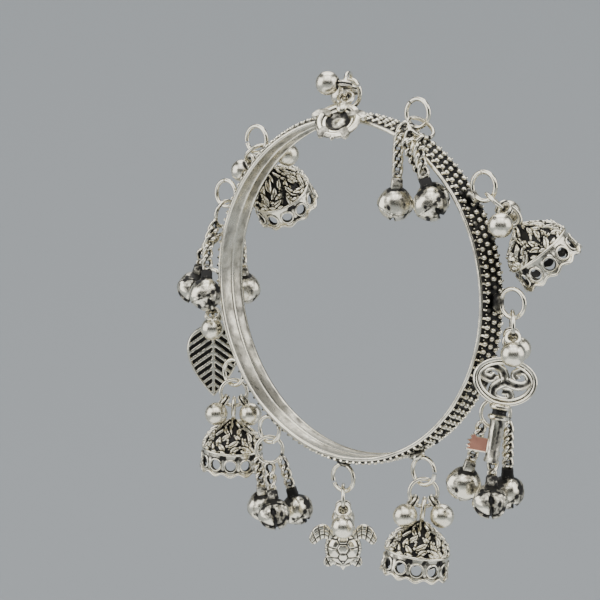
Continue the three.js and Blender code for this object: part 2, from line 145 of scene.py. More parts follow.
def headings(path: Vec, closed: bool) -> Vec:
    """Gives the unit direction in which a path runs at each of its points."""
    ahead = np.roll(path, -1, axis=0) - np.roll(path, 1, axis=0) if closed else np.gradient(path, axis=0)
    return ahead / np.linalg.norm(ahead, axis=1)[:, None]


def run_length(line: Vec) -> Vec:
    """Gives how far along a line each of its points lies."""
    steps = np.linalg.norm(np.diff(line, axis=0), axis=1)
    return np.concatenate(((0.0,), np.cumsum(steps)))


def mirrored(rows: list[Triple]) -> list[Triple]:
    """Gives the rows from last to first, with the sign of their first column turned."""
    return [(-first, second, third) for first, second, third in reversed(rows)]


def circle(radius: float, count: int, start: float = 0.0, turn: float = 360.0) -> Vec:
    """Gives points round the Y axis.

    Args:
        radius: The circle's radius.
        count: How many points to give.
        start: The first point's angle, in degrees.
        turn: How far round the points go, in degrees.

    Returns:
        The points, one row each.
    """
    whole = turn >= 360.0
    angles = np.radians(start + np.linspace(0.0, turn, count, endpoint=not whole))
    return np.column_stack((radius * np.cos(angles), np.zeros(count), radius * np.sin(angles)))


def tube(path: Vec, radius: float | Vec, sides: int, closed: bool = False) -> Vec:
    """Sweeps a round section along a path without twisting it.

    Args:
        path: The points of the middle line.
        radius: The section's radius, one value or one for each point.
        sides: The points round the section.
        closed: Whether the path returns to its first point.

    Returns:
        A grid of points with one section in each row.
    """
    count = len(path)
    ahead = headings(path, closed)
    helper = np.eye(3)[np.argmin(np.abs(ahead[0]))]
    beside = [square_to(helper, ahead[0])]
    for direction in ahead[1:]:
        beside.append(square_to(beside[-1], direction))
    across = np.array(beside)
    above = np.cross(ahead, across)
    turn = 0.0
    if closed:
        last = square_to(across[-1], ahead[0])
        turn = math.atan2(last.dot(above[0]), last.dot(across[0]))
    angles = whole_turn(sides)[None, :]
    angles = angles - turn * np.arange(count)[:, None] / count
    spread = np.broadcast_to(np.asarray(radius, float), count)[:, None, None]
    ring = np.cos(angles)[..., None] * across[:, None] + np.sin(angles)[..., None] * above[:, None]
    return path[:, None] + spread * ring


def turned(profile: Vec | list | tuple, columns: int, start: float = 0.0) -> Vec:
    """Turns a profile about the Z axis.

    Args:
        profile: Rows (radius, height).
        columns: The points round the axis.
        start: The first point's angle, in radians.

    Returns:
        A grid of points with one row for each row of the profile.
    """
    profile = np.asarray(profile, float)
    angles = start + whole_turn(columns)
    x = profile[:, :1] * np.cos(angles)
    y = profile[:, :1] * np.sin(angles)
    return np.stack((x, y, np.broadcast_to(profile[:, 1:], x.shape)), axis=-1)


def ball(radius: float, rows: int, columns: int) -> Vec:
    """Gives the grid of points of a ball about the origin, from its top to its bottom."""
    angles = np.linspace(0.0, math.pi, rows)
    return turned(np.column_stack((radius * np.sin(angles), radius * np.cos(angles))), columns)


def flat_sweep(path: Vec, section: Vec, widths: float | Vec = 1.0, closed: bool = False) -> Vec:
    """Sweeps a section along a path that lies in the XZ plane.

    Args:
        path: Points (x, z) of the middle line.
        section: Points (across, depth) of the section, across counted outwards from the path.
        widths: What the section's across values are multiplied by, one value or one for each point.
        closed: Whether the path returns to its first point.

    Returns:
        A grid of points with one section in each row.
    """
    ahead = headings(path, closed)
    aside = np.column_stack((ahead[:, 1], -ahead[:, 0]))
    across = np.broadcast_to(np.asarray(widths, float), len(path))[:, None] * section[None, :, 0]
    x = path[:, :1] + aside[:, :1] * across
    z = path[:, 1:] + aside[:, 1:] * across
    return np.stack((x, np.broadcast_to(section[:, 1], x.shape), z), axis=-1)


def lines_near(points: Vec, lines: list[list[Pair]], width: float) -> Vec:
    """Tells how close points lie to drawn lines.

    Args:
        points: Points (x, z) in an array of any shape.
        lines: Polylines of (x, z) points.
        width: How far from a line its mark fades.

    Returns:
        1 on a line, fading to 0 away from it.
    """
    mark = np.zeros(points.shape[:-1])
    for line in lines:
        for start, end in zip(np.asarray(line[:-1], float), np.asarray(line[1:], float)):
            run = end - start
            share = np.clip(((points - start) @ run) / run.dot(run), 0.0, 1.0)
            gap = np.linalg.norm(points - start - share[..., None] * run, axis=-1)
            mark = np.maximum(mark, np.exp(-((gap / width) ** 2)))
    return mark


class Skin:
    """Points, faces and hollow values of a piece while it is made, in millimetres."""

    def __init__(self) -> None:
        """Starts an empty skin."""
        self.points: list[Vec] = []
        self.faces: list[list[int]] = []
        self.hollow: list[Vec] = []
        self.size = 0

    def add(self, points: Vec, faces: list[list[int]], hollow: float | Vec) -> None:
        """Adds a patch.

        Args:
            points: The patch's points.
            faces: Its faces, as places in points.
            hollow: How deep each point lies in the relief, from 0 on top to 1 in a hollow.
        """
        points = np.asarray(points, float).reshape(-1, 3)
        depth = np.asarray(hollow, float).reshape(-1)
        self.faces.extend([[i + self.size for i in face] for face in faces])
        self.points.append(points)
        self.hollow.append(np.array(np.broadcast_to(depth, len(points))))
        self.size += len(points)

    def grid(self, points: Vec, hollow: float | Vec, wrap_rows: bool = False, caps: bool = False) -> None:
        """Adds a grid of points as a skin of quads, whose last column joins the first.

        Args:
            points: The grid, in rows and columns.
            hollow: One hollow value, or one for each point.
            wrap_rows: Whether the last row joins the first too.
            caps: Whether the first and last rows are closed with a face.
        """
        rows, columns = points.shape[:2]
        ids = np.arange(rows * columns).reshape(rows, columns)
        upper = ids if wrap_rows else ids[:-1]
        lower = np.roll(ids, -1, axis=0) if wrap_rows else ids[1:]
        quads = np.stack((upper, np.roll(upper, -1, axis=1), np.roll(lower, -1, axis=1), lower), axis=-1)
        faces = quads.reshape(-1, 4).tolist()
        if caps:
            faces += [ids[0].tolist(), ids[-1].tolist()]
        self.add(points, faces, hollow)

    def join(self, other: Skin, axes: Vec, origin: Vec) -> None:
        """Adds another skin, turned by a matrix of axes and moved to an origin."""
        points = np.vstack(other.points) @ axes.T + origin
        self.add(points, other.faces, np.concatenate(other.hollow))

    def hoop(self, section: list[Triple], count: int) -> None:
        """Adds a closed section turned about the Y axis.

        Args:
            section: Rows (y, radius, hollow) round the section.
            count: How many sections stand round the hoop.
        """
        y, radius, hollow = np.transpose(section)
        angles = whole_turn(count)[:, None]
        x = radius * np.cos(angles)
        points = np.stack((x, np.broadcast_to(y, x.shape), radius * np.sin(angles)), axis=-1)
        self.grid(points, np.broadcast_to(hollow, x.shape), wrap_rows=True)

    def mesh(self, name: str, finish: bpy.types.Material, crease: float = 40.0) -> bpy.types.Mesh:
        """Makes the mesh.

        Args:
            name: The mesh's name.
            finish: The material it is dressed in.
            crease: The angle, in degrees, from which an edge is shaded as sharp.

        Returns:
            The mesh, in metres, with its faces turned outwards.
        """
        mesh = bpy.data.meshes.new(name)
        mesh.from_pydata((np.vstack(self.points) * MM).tolist(), [], self.faces)
        depth = mesh.attributes.new("hollow", "FLOAT", "POINT")
        depth.data.foreach_set("value", np.concatenate(self.hollow).astype(np.float32))
        work = bmesh.new()
        work.from_mesh(mesh)
        bmesh.ops.remove_doubles(work, verts=work.verts, dist=1e-7)
        bmesh.ops.recalc_face_normals(work, faces=work.faces)
        work.to_mesh(mesh)
        work.free()
        mesh.polygons.foreach_set("use_smooth", np.ones(len(mesh.polygons), bool))
        mesh.set_sharp_from_angle(angle=math.radians(crease))
        mesh.materials.append(finish)
        return mesh


class Slot(Enum):
    """Material slots."""

    SILVER = "silver"
    DARK_SILVER = "dark_silver"


def set_piece(name: str, mesh: bpy.types.Mesh, at: Matrix, nodes: tuple[str, ...], slot: Slot) -> None:
    """Sets a finished piece in its place on the frame.

    Args:
        name: The piece's name.
        mesh: Its mesh, which may be shared with like pieces.
        at: Its place in the part's frame.
        nodes: The frame's nodes that it stands for.
        slot: A material slot for the piece; not used.
    """
    piece = bpy.data.objects.new(name, mesh)
    bpy.context.scene.collection.objects.link(piece)
    piece.matrix_world = at
    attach(piece, "root")
    if nodes:
        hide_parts(*nodes)
    log.info("%s: %d faces", name, len(mesh.polygons))


class Shading:
    """The nodes of a material while it is made."""

    def __init__(self, name: str) -> None:
        """Starts a material that has a plain shader.

        Args:
            name: The material's name.
        """
        self.material = bpy.data.materials.new(name)
        self.material.use_nodes = True
        self.tree = self.material.node_tree
        self.where = self.node("TexCoord").outputs["Object"]

    def fill(self, node: bpy.types.Node, inputs: Inputs) -> None:
        """Fills a node's inputs.

        Args:
            node: The node.
            inputs: What each input gets: another node's output, which is linked, or a plain value.
        """
        for key, value in inputs.items():
            if isinstance(value, Socket):
                self.tree.links.new(value, node.inputs[key])
            else:
                node.inputs[key].default_value = value

    def node(self, kind: str, inputs: Inputs | None = None, **settings: str) -> bpy.types.Node:
        """Adds a node.

        Args:
            kind: The node's type, without the prefix that all shader nodes share.
            inputs: What its inputs get.
            settings: Its other settings, which are made first.

        Returns:
            The node.
        """
        node = self.tree.nodes.new(f"ShaderNode{kind}")
        for key, value in settings.items():
            setattr(node, key, value)
        self.fill(node, inputs or {})
        return node

    def noise(self, at: Socket, scale: float, detail: float, rough: float = 0.5) -> Socket:
        """Adds a noise and gives its value."""
        inputs = {"Vector": at, "Scale": scale, "Detail": detail, "Roughness": rough}
        return self.node("TexNoise", inputs).outputs["Fac"]

    def spread(self, value: Socket, span: Pair, ends: Pair = (0.0, 1.0), curve: str = "LINEAR") -> Socket:
        """Spreads a span of values over another.

        Args:
            value: The value.
            span: The lowest and highest value that count.
            ends: What they become.
            curve: How the values between them run.

        Returns:
            The spread value.
        """
        inputs = {"Value": value}
        inputs["From Min"], inputs["From Max"] = span
        inputs["To Min"], inputs["To Max"] = ends
        return self.node("MapRange", inputs, interpolation_type=curve).outputs["Result"]

    def mix(self, kind: str, factor: Socket, first: object, second: object) -> Socket:
        """Mixes two colours (kind RGBA) or two numbers (kind FLOAT) by a factor."""
        inputs = {"Factor": factor, "A": first, "B": second}
        return self.node("Mix", inputs, data_type=kind).outputs["Result"]

    def dress(self, inputs: Inputs) -> bpy.types.Material:
        """Fills the shader's inputs and gives the finished material."""
        self.fill(self.tree.nodes["Principled BSDF"], inputs)
        return self.material


@dataclass(frozen=True)
class AntiqueSilver:
    """Silver that was blackened all over and then polished on its high places."""

    name: str
    bright: Colour = (0.96, 0.92, 0.80)
    warm: Colour = (0.84, 0.78, 0.60)
    black: Colour = (0.010, 0.009, 0.008)
    polish: float = 0.17
    dull: float = 0.5
    stain: float = 0.22
    stain_size: float = 1.3
    grain: float = 0.10
    grain_size: float = 0.22
    brushing: Triple = (1.0, 1.0, 1.0)

    def material(self) -> bpy.types.Material:
        """Makes the material.

        Returns:
            A node material that blackens the hollows, warms the polish in places and roughens both a little.
        """
        nodes = Shading(self.name)
        relief = nodes.node("Attribute", attribute_name="hollow").outputs["Fac"]
        stains = nodes.noise(nodes.where, 1000.0 / self.stain_size, 5.0, 0.62)
        stains = nodes.spread(stains, (0.3, 0.7), (-self.stain, self.stain))
        depth = nodes.node("Math", {0: relief, 1: stains}, operation="ADD").outputs["Value"]
        tarnish = nodes.spread(depth, (0.12, 0.72), curve="SMOOTHSTEP")
        clouds = nodes.noise(nodes.where, 260.0, 3.0)
        silver = nodes.mix("RGBA", clouds, (*self.bright, 1.0), (*self.warm, 1.0))
        colour = nodes.mix("RGBA", tarnish, silver, (*self.black, 1.0))
        brushed = nodes.node("Mapping", {"Vector": nodes.where, "Scale": self.brushing}).outputs["Vector"]
        grain = nodes.noise(brushed, 1000.0 / self.grain_size, 3.0)
        wear = nodes.spread(grain, (0.25, 0.8), (0.75 * self.polish, 1.5 * self.polish))
        rough = nodes.mix("FLOAT", tarnish, wear, self.dull)
        metal = nodes.spread(tarnish, (0.0, 1.0), (1.0, 0.55))
        bump = nodes.node("Bump", {"Strength": self.grain, "Distance": 0.05 * MM, "Height": grain})
        return nodes.dress(
            {
                "IOR": 1.6,
                "Base Color": colour,
                "Roughness": rough,
                "Metallic": metal,
                "Normal": bump.outputs["Normal"],
            }
        )


@dataclass
class Band:
    """The ring with its rows of grains, its rims and the loops soldered to it."""

    finish: AntiqueSilver
    lining: AntiqueSilver
    inside: float = RING_DROP
    ground: float = 31.0
    rim: float = 31.2
    half_width: float = 3.1
    rim_width: float = 0.5
    channel: float = 0.25
    columns: int = 264
    row_gap: float = 1.75
    grain_size: Triple = (0.46, 0.6, 0.66)
    seed_size: Triple = (0.2, 0.2, 0.3)
    loop_wire: float = 0.4
    loop_slit: float = 8.0
    solder_orbit: float = 32.0
    solder_size: Triple = (1.5, 1.3, 0.8)
    loop_angles: tuple[float, ...] = ()

    def profile(self) -> list[Triple]:
        """Gives the band's section.

        Returns:
            Rows (y, radius, hollow) round it: the outside first, then the inside with its two channels.
        """
        edge = self.half_width
        floor = self.inside + self.channel
        rim = [
            (-edge, self.rim - 0.6, 0.1),
            (-edge + 0.05, self.rim - 0.5, 0.05),
            (-edge + 0.14, self.rim - 0.38, 0.4),
            (-edge + 0.3, self.rim - 0.26, 0.95),
            (-edge + self.rim_width, self.ground, 1.0),
        ]
        lip = [
            (edge, self.inside + 0.28, 0.42),
            (edge, self.inside + 0.12, 0.1),
            (edge - 0.12, self.inside, 0.0),
            (edge - 0.4, self.inside, 0.05),
            (edge - 0.55, floor - 0.05, 0.45),
        ]
        ridge = [
            (edge - 0.75, floor, 0.4),
            (0.85, floor, 0.32),
            (0.65, floor - 0.04, 0.45),
            (0.55, self.inside + 0.03, 0.1),
            (0.35, self.inside, 0.0),
            (0.15, self.inside + 0.03, 0.1),
            (0.05, floor - 0.05, 0.42),
            (-0.1, floor - 0.02, 0.35),
            (-edge + 0.75, floor, 0.35),
        ]
        return [*rim, *mirrored(rim), *lip, *ridge, *mirrored(lip)]

    def ring(self) -> Skin:
        """Makes the band's body.

        Returns:
            The body's skin.
        """
        skin = Skin()
        skin.hoop(self.profile(), self.columns)
        return skin

    def grains(self) -> Skin:
        """Makes the three rows of grains, the bars that tie them to the rims, and the seeds between bars.

        Returns:
            The skin of them all.
        """
        skin = Skin()
        grains = [self.bead(self.grain_size, 8, 14, tarnish) for tarnish in (0.0, 0.3, 0.6)]
        seed = self.bead(self.seed_size, 5, 8, 0.15)
        bar = self.bar()
        draw = np.random.default_rng(11)
        for step in range(self.columns):
            angle = 2 * math.pi * step / self.columns
            outer = step % 2 == 1
            worn = 0.12 + 0.75 * self.near_loop(angle)
            rows = (-self.row_gap, self.row_gap) if outer else (0.0,)
            for y in rows:
                grain = grains[1 + draw.integers(2)] if draw.random() < worn else grains[0]
                lift = 0.05 - 0.25 * worn * draw.random()
                self.stand(skin, grain, angle + draw.normal(0.0, 0.0015), y, self.ground + lift)
            for way in (-1, 1):
                if outer:
                    self.stand(skin, bar, angle, way * self.row_gap, self.ground + 0.14, way)
                else:
                    self.stand(skin, seed, angle, way * (self.row_gap + 0.45), self.ground + 0.02)
        return skin

    def bar(self) -> Skin:
        """Makes the bent bar that ties a grain to the rim.

        Returns:
            The bar's skin.
        """
        skin = Skin()
        run = np.array(((0.0, 0.3, 0.0), (0.08, 0.75, 0.1), (0.18, 1.2, -0.12)))
        skin.grid(tube(run, np.array((0.22, 0.25, 0.2)), 8), 0.0, caps=True)
        return skin

    def near_loop(self, angle: float) -> float:
        """Tells how near an angle round the band is to a loop, from 0 to 1 at its foot."""
        gaps = [abs((math.degrees(angle) - loop + 180.0) % 360.0 - 180.0) for loop in self.loop_angles]
        return float(1.0 - ease(np.array(min(gaps)), 2.5, 6.0))

    def bead(self, size: Triple, rows: int, columns: int, tarnish: float) -> Skin:
        """Makes a flattened grain, dark round its foot.

        Args:
            size: Its half sizes along the band, across it and outwards.
            rows: The rows of points from its top to its bottom.
            columns: The points round it.
            tarnish: How dark its top is.

        Returns:
            The grain's skin.
        """
        skin = Skin()
        points = ball(1.0, rows, columns)
        points[..., 2] = np.maximum(np.sign(points[..., 2]) * np.abs(points[..., 2]) ** 0.65, -0.3)
        hollow = np.clip(1.0 - ease(points[..., 2], 0.1, 0.55) + tarnish, 0.0, 1.0)
        skin.grid(points * np.array(size), hollow)
        return skin

    def stand(self, skin: Skin, detail: Skin, angle: float, y: float, radius: float, way: int = 1) -> None:
        """Stands a detail on the band's outer face.

        Args:
            skin: What it is added to.
            detail: The detail, modelled with X along the band, Y across it and Z outwards.
            angle: Its angle round the band.
            y: Its place across the band.
            radius: How far its origin is from the band's middle.
            way: -1 turns it to the other rim.
        """
        away = outward(angle)
        along = np.array((-away[2], 0.0, away[0]))
        axes = np.column_stack((along, np.array((0.0, float(way), 0.0)), away))
        skin.join(detail, axes, away * radius + np.array((0.0, y, 0.0)))

    def loops(self) -> Skin:
        """Makes the split wire loops, each with the lump of solder that holds it.

        Returns:
            The skin of all the loops.
        """
        skin = Skin()
        for count, degrees in enumerate(self.loop_angles):
            angle = math.radians(degrees)
            away = outward(angle)
            slit = degrees - 60.0 if count % 2 else degrees + 62.0
            line = circle(LOOP_RADIUS, 56, slit + self.loop_slit / 2, 360.0 - self.loop_slit)
            wire = tube(line, self.loop_wire, 12)
            foot = np.linalg.norm(wire - away * (self.solder_orbit + 0.2 - LOOP_ORBIT), axis=-1)
            hollow = 0.85 * (1.0 - ease(foot, 0.4, 1.5))
            skin.grid(wire + away * LOOP_ORBIT, hollow, caps=True)
            self.stand(skin, self.solder(count), angle, 0.0, self.solder_orbit)
        return skin

    def solder(self, seed: int) -> Skin:
        """Makes an uneven lump of solder.

        Args:
            seed: What its shape is drawn from.

        Returns:
            The lump's skin.
        """
        skin = Skin()
        draw = np.random.default_rng(40 + seed)
        points = ball(1.0, 15, 24)
        swell = np.ones(points.shape[:2])
        for _ in range(16):
            knob = unit(draw.normal(size=3))
            near = np.clip(points @ knob, -1.0, 1.0)
            swell += draw.uniform(-0.2, 0.2) * np.exp(-((1.0 - near) / 0.1) ** 2)
        hollow = np.clip(0.45 + 0.3 * (seed % 2) - 2.5 * (swell - 1.0) - 0.2 * points[..., 2], 0.0, 1.0)
        skin.grid(points * swell[..., None] * np.array(self.solder_size), hollow)
        return skin

    def build(self) -> None:
        """Sets the band's three pieces."""
        silver = self.finish.material()
        ring = self.ring().mesh("band_ring", self.lining.material(), 50.0)
        set_piece("band_ring", ring, CENTRE, ("band",), Slot.SILVER)
        set_piece("band_grains", self.grains().mesh("band_grains", silver), CENTRE, (), Slot.SILVER)
        set_piece("band_loops", self.loops().mesh("band_loops", silver), CENTRE, (), Slot.SILVER)


@dataclass
class JumpRing:
    """A split ring of round wire, with its hole along Y."""

    finish: bpy.types.Material
    radius: float = RING_RADIUS
    wire: float = 0.36
    slit: float = 205.0
    slit_width: float = 4.0

    def mesh(self) -> bpy.types.Mesh:
        """Makes the ring's mesh, dark at the wire's two ends; its slit's place and width are in degrees.

        Returns:
            The mesh.
        """
        skin = Skin()
        count = 60
        wire = tube(circle(self.radius, count, self.slit, 360.0 - self.slit_width), self.wire, 12)
        from_end = np.minimum(np.arange(count), np.arange(count)[::-1])[:, None]
        hollow = 0.7 * (1.0 - ease(from_end, 0.0, 2.0))
        skin.grid(wire, np.broadcast_to(hollow, wire.shape[:2]), caps=True)
        return skin.mesh("jump_ring", self.finish)


@dataclass
class BallDrop:
    """A polished ball under a broad double eye."""

    finish: bpy.types.Material
    ball_radius: float = 2.15
    eye_inside: float = 0.85
    eye_outside: float = 1.45
    eye_width: float = 1.0
    fall: float = 3.15

    def mesh(self) -> bpy.types.Mesh:
        """Makes the drop's mesh.

        Returns:
            The mesh.
        """
        skin = Skin()
        inner, outer, half = self.eye_inside, self.eye_outside, self.eye_width / 2
        # Rows (y, radius, hollow) round half of the eye's section, up to the groove between its lips.
        lip = [
            (-half + 0.12, inner, 0.5),
            (-half, inner + 0.12, 0.1),
            (-half, outer - 0.15, 0.0),
            (-half + 0.12, outer - 0.02, 0.0),
            (-half + 0.26, outer, 0.1),
            (-0.06, outer - 0.13, 0.9),
        ]
        skin.hoop([*lip, *mirrored(lip)], 44)
        body = ball(self.ball_radius, 29, 44)
        collar = 0.95 * (1.0 - ease(self.ball_radius - body[..., 2], 0.12, 0.5))
        skin.grid(body - np.array((0.0, 0.0, self.fall)), collar)
        return skin.mesh("ball_drop", self.finish)


def wire_eye(skin: Skin, stretch: float = 1.0) -> None:
    """Adds the wire eye at a charm's origin, with its hole along Y.

    Args:
        skin: What it is added to.
        stretch: How many times longer than wide it is, downwards.
    """
    radius, wire = 1.28, 0.42
    top = radius - wire
    points = tube(circle(radius, 44), wire, 12, closed=True)
    hollow = 0.7 * (1.0 - ease(np.linalg.norm(points, axis=-1), top, radius - 0.1))
    points[..., 2] = top + (points[..., 2] - top) * stretch
    skin.grid(points, hollow, wrap_rows=True)


@dataclass(frozen=True)
class Sprig:
    """One ring of leaves, stems or buds in a bell's relief.

    The lean, which is from level, and the start are in degrees.
    """

    drop: float
    count: int
    length: float
    width: float
    lean: float
    start: float
    slit: float = 0.75


@dataclass
class Bell:
    """A domed bell with leaves in relief, a plain rib, and a pierced rim with a wavy edge."""

    finish: bpy.types.Material
    holes: int = 12
    hole_radius: float = 0.98
    hole_drop: float = 10.1
    lip_drop: float = 12.3
    lip_radius: float = 5.66
    wave: float = 0.3
    rim_top: float = 8.0
    rim_radius: float = 5.75
    face_radius: float = 5.62
    flare: float = 0.07
    rib_radius: float = 5.55
    rib_drop: float = 7.95
    wall: float = 0.5
    relief: float = 0.75
    columns: int = 300
    rows: int = 90

    # Later rings lie over earlier ones.
    SPRIGS = (
        Sprig(3.2, 10, 2.2, 0.5, 84.0, 0.0, 0.0),
        Sprig(4.4, 11, 3.4, 0.55, 74.0, 12.0, 0.0),
        Sprig(5.8, 15, 3.0, 0.45, 72.0, 9.0, 0.0),
        Sprig(6.8, 18, 2.2, 0.45, 58.0, 0.0, 0.0),
        Sprig(4.1, 8, 2.2, 0.8, 70.0, 20.0),
        Sprig(5.1, 11, 2.8, 1.0, 64.0, 28.0),
        Sprig(6.0, 12, 3.0, 1.1, 54.0, 3.0),
        Sprig(6.9, 13, 2.8, 1.05, 40.0, 18.0),
        Sprig(7.4, 16, 1.3, 0.6, 12.0, 5.0, 0.0),
        Sprig(5.4, 9, 0.6, 0.6, 0.0, 48.0, 0.0),
        Sprig(6.4, 10, 0.6, 0.6, 0.0, 20.0, 0.0),
    )
    # Points (radius, drop) of the dome's outline, from its neck down, and of its inside, from the rim up.
    OUTLINE = ((0.75, 2.2), (1.0, 2.75), (2.1, 3.5), (3.3, 4.3), (4.5, 5.3), (5.3, 6.6), (5.7, 7.7))
    INSIDE = ((5.2, 8.1), (4.6, 7.0), (2.8, 5.2), (0.0, 4.6))
    # Steps (distance past the hole's edge, lift, hollow) across the raised eyelet round a hole.
    EYELET = ((0.0, 0.0, 0.3), (0.03, 0.16, 0.0), (0.16, 0.2, 0.0), (0.28, 0.12, 0.1), (0.34, -0.04, 0.75))
    # A slope that counts as level, and a distance past any edge.
    LEVEL = 1e-9
    FAR = 1e9

    def dome_height(self, arc: Vec, radius: Vec, drop: Vec) -> Vec:
        """Gives the relief's height over the dome: leaves with a slit along them and a black line round them.

        Args:
            arc: Distance down the dome's outline, one value a row.
            radius: The dome's radius, one value a row.
            drop: The depth below the eye, one value a row.

        Returns:
            The height, from 0 in the ground to about 1, in rows and columns.
        """
        angles = whole_turn(self.columns)[None, :]
        height = np.zeros((len(arc), self.columns))
        draw = np.random.default_rng(5)
        for sprig in self.SPRIGS:
            centre = np.interp(sprig.drop, drop, arc)
            for i in range(sprig.count):
                turn = math.radians(sprig.start + 360.0 * i / sprig.count) + draw.normal(0.0, 0.06)
                lean = math.radians(sprig.lean * (1 if i % 2 else -1) + draw.normal(0.0, 13.0))
                length = sprig.length * draw.uniform(0.85, 1.2)
                curl = draw.normal(0.0, 0.14)
                gap = (angles - turn + math.pi) % (2 * math.pi) - math.pi
                x = gap * radius[:, None]
                y = (arc - centre - draw.normal(0.0, 0.15))[:, None]
                run = x * math.cos(lean) + y * math.sin(lean)
                along = np.abs(run) * 2.0 / length
                across = np.abs(y * math.cos(lean) - x * math.sin(lean) + curl * run**2)
                reach = along**1.9 + (2.0 * across / sprig.width) ** 1.15
                slit = sprig.slit * np.exp(-((across / 0.13) ** 2)) * (1.0 - ease(along, 0.55, 0.85))
                body = draw.uniform(0.75, 1.0) * (1.0 - 0.3 * np.minimum(reach, 1.0)) * (1.0 - slit)
                bare = ease(reach, 1.15, 1.7)
                height = height * bare + body * (1.0 - ease(reach, 0.85, 1.1))
        return height

    def dome(self, skin: Skin) -> None:
        """Adds the dome with its relief, its inside, and the plain rib below it.

        Args:
            skin: What they are added to.
        """
        outline = smooth_line(self.OUTLINE, self.rows)
        height = self.dome_height(run_length(outline), outline[:, 0], outline[:, 1])
        slope = np.gradient(outline, axis=0)
        slope = slope / np.linalg.norm(slope, axis=1)[:, None]
        lift = self.relief * height - 0.3
        radius = outline[:, :1] + slope[:, 1:] * lift
        drop = outline[:, 1:] - slope[:, :1] * lift
        angles = whole_turn(self.columns)[None, :]
        points = np.stack((radius * np.cos(angles), radius * np.sin(angles), -drop), axis=-1)
        lining = turned([(reach, -fall) for reach, fall in self.INSIDE], self.columns)
        neck = turned(((0.0, -outline[0, 1] + 0.3),), self.columns)
        shade = 1.0 - ease(height, 0.1, 0.5)
        hollow = np.vstack((np.zeros(neck.shape[:2]), shade, np.ones(lining.shape[:2])))
        skin.grid(np.concatenate((neck, points, lining)), hollow)
        turn = whole_turn(12)
        rib = np.column_stack((self.rib_radius + 0.36 * np.cos(turn), -self.rib_drop + 0.28 * np.sin(turn)))
        skin.grid(turned(rib, 96), 0.0, wrap_rows=True)

    def cell(self) -> tuple[Vec, Vec, Vec, Vec]:
        """Works out the edge of the cell of the rim that surrounds a hole.

        Returns:
            The cosine and sine of each direction from the hole's middle, how far off the cell's edge is that
            way, and 1 where that edge is the lip.
        """
        reach = math.pi / self.holes * self.rim_radius
        over = self.hole_drop - self.rim_top
        under = self.hole_drop - self.lip_drop + 2 * self.wave
        corners = np.degrees((math.atan2(over, reach), math.atan2(under, reach)))
        right = np.unique(np.concatenate((np.linspace(-90.0, 90.0, 23), corners)))
        angles = np.radians(np.concatenate((right, 180.0 - right[1:-1][::-1])))
        cosine, sine = np.cos(angles), np.sin(angles)
        side = reach / np.maximum(np.abs(cosine), self.LEVEL)
        top = np.where(sine > self.LEVEL, over / np.maximum(sine, self.LEVEL), self.FAR)
        straight = np.minimum(side, top)
        bottom = np.full_like(side, self.FAR)
        # The lip is a wave, so each step comes closer to where it is met.
        for _ in range(12):
            span = np.minimum(straight, bottom)
            lip = self.lip_drop - self.wave * (1.0 - np.cos(math.pi * span * cosine / reach))
            fall = (lip - self.hole_drop) / np.maximum(-sine, self.LEVEL)
            bottom = np.where(sine < -self.LEVEL, fall, self.FAR)
        at_lip = (bottom <= straight + 1e-6).astype(float)
        return cosine, sine, np.minimum(straight, bottom), at_lip

    def rim(self, skin: Skin) -> None:
        """Adds the pierced rim, made of one cell for each hole.

        Args:
            skin: What it is added to.
        """
        cosine, sine, span, at_lip = self.cell()
        corner = ease(span, self.hole_radius + 0.6, self.hole_radius + 1.1) * ease(np.abs(cosine), 0.3, 0.6)
        # Rows (distance, lift, hollow, dirt) from the hole's edge to the cell's.
        rows = [(self.hole_radius + past, lift, hollow, 0.0) for past, lift, hollow in self.EYELET]
        start = rows[-1][0]
        for share in (0.3, 0.6, 1.0):
            dirt = corner * (1.0 - at_lip * share)
            rows.append((start + (span - start) * share, -0.04 - 0.08 * corner, 0.14, dirt))
        distance, lift, hollow, dirt = (
            np.stack([np.broadcast_to(value, span.shape) for value in column]) for column in zip(*rows)
        )
        between = np.random.default_rng(9).uniform(-1.4, 1.0, self.holes)
        for cell in range(self.holes):
            turn = 2 * math.pi / self.holes * cell
            tarnish = hollow + dirt * np.where(cosine > 0.0, between[cell], between[cell - 1])
            face = self.rim_points(distance, lift, turn, cosine, sine)
            back = self.rim_points(distance, np.full_like(lift, -self.wall), turn, cosine, sine)
            shade = np.concatenate((tarnish, np.full_like(hollow, 0.9)))
            skin.grid(np.concatenate((face, back[::-1])), shade, wrap_rows=True)

    def rim_points(self, distance: Vec, lift: Vec, turn: float, cosine: Vec, sine: Vec) -> Vec:
        """Wraps points about a hole onto the rim.

        Args:
            distance: Distance from the hole's middle.
            lift: Height over the rim's plain face.
            turn: The hole's angle round the bell.
            cosine: Share of the distance that runs round the bell.
            sine: Share of it that runs up the bell.

        Returns:
            The points.
        """
        drop = self.hole_drop - distance * sine
        angle = turn + distance * cosine / self.rim_radius
        radius = self.face_radius + self.flare * (drop - self.rim_top) + lift
        return np.stack((radius * np.cos(angle), radius * np.sin(angle), -drop), axis=-1)

    def lip(self, skin: Skin) -> None:
        """Adds the bead along the rim's wavy lip.

        Args:
            skin: What it is added to.
        """
        turns = whole_turn(12 * self.holes)
        drop = self.lip_drop - 0.14 - self.wave * (1.0 - np.cos(self.holes * turns))
        radius = self.lip_radius + self.flare * (drop - self.rim_top)
        line = np.column_stack((radius * np.cos(turns), radius * np.sin(turns), -drop))
        skin.grid(tube(line, 0.24, 8, closed=True), 0.0, wrap_rows=True)

    def mesh(self) -> bpy.types.Mesh:
        """Makes the bell's mesh.

        Returns:
            The mesh.
        """
        skin = Skin()
        wire_eye(skin, 1.5)
        self.dome(skin)
        self.rim(skin)
        self.lip(skin)
        return skin.mesh("bell", self.finish, 55.0)


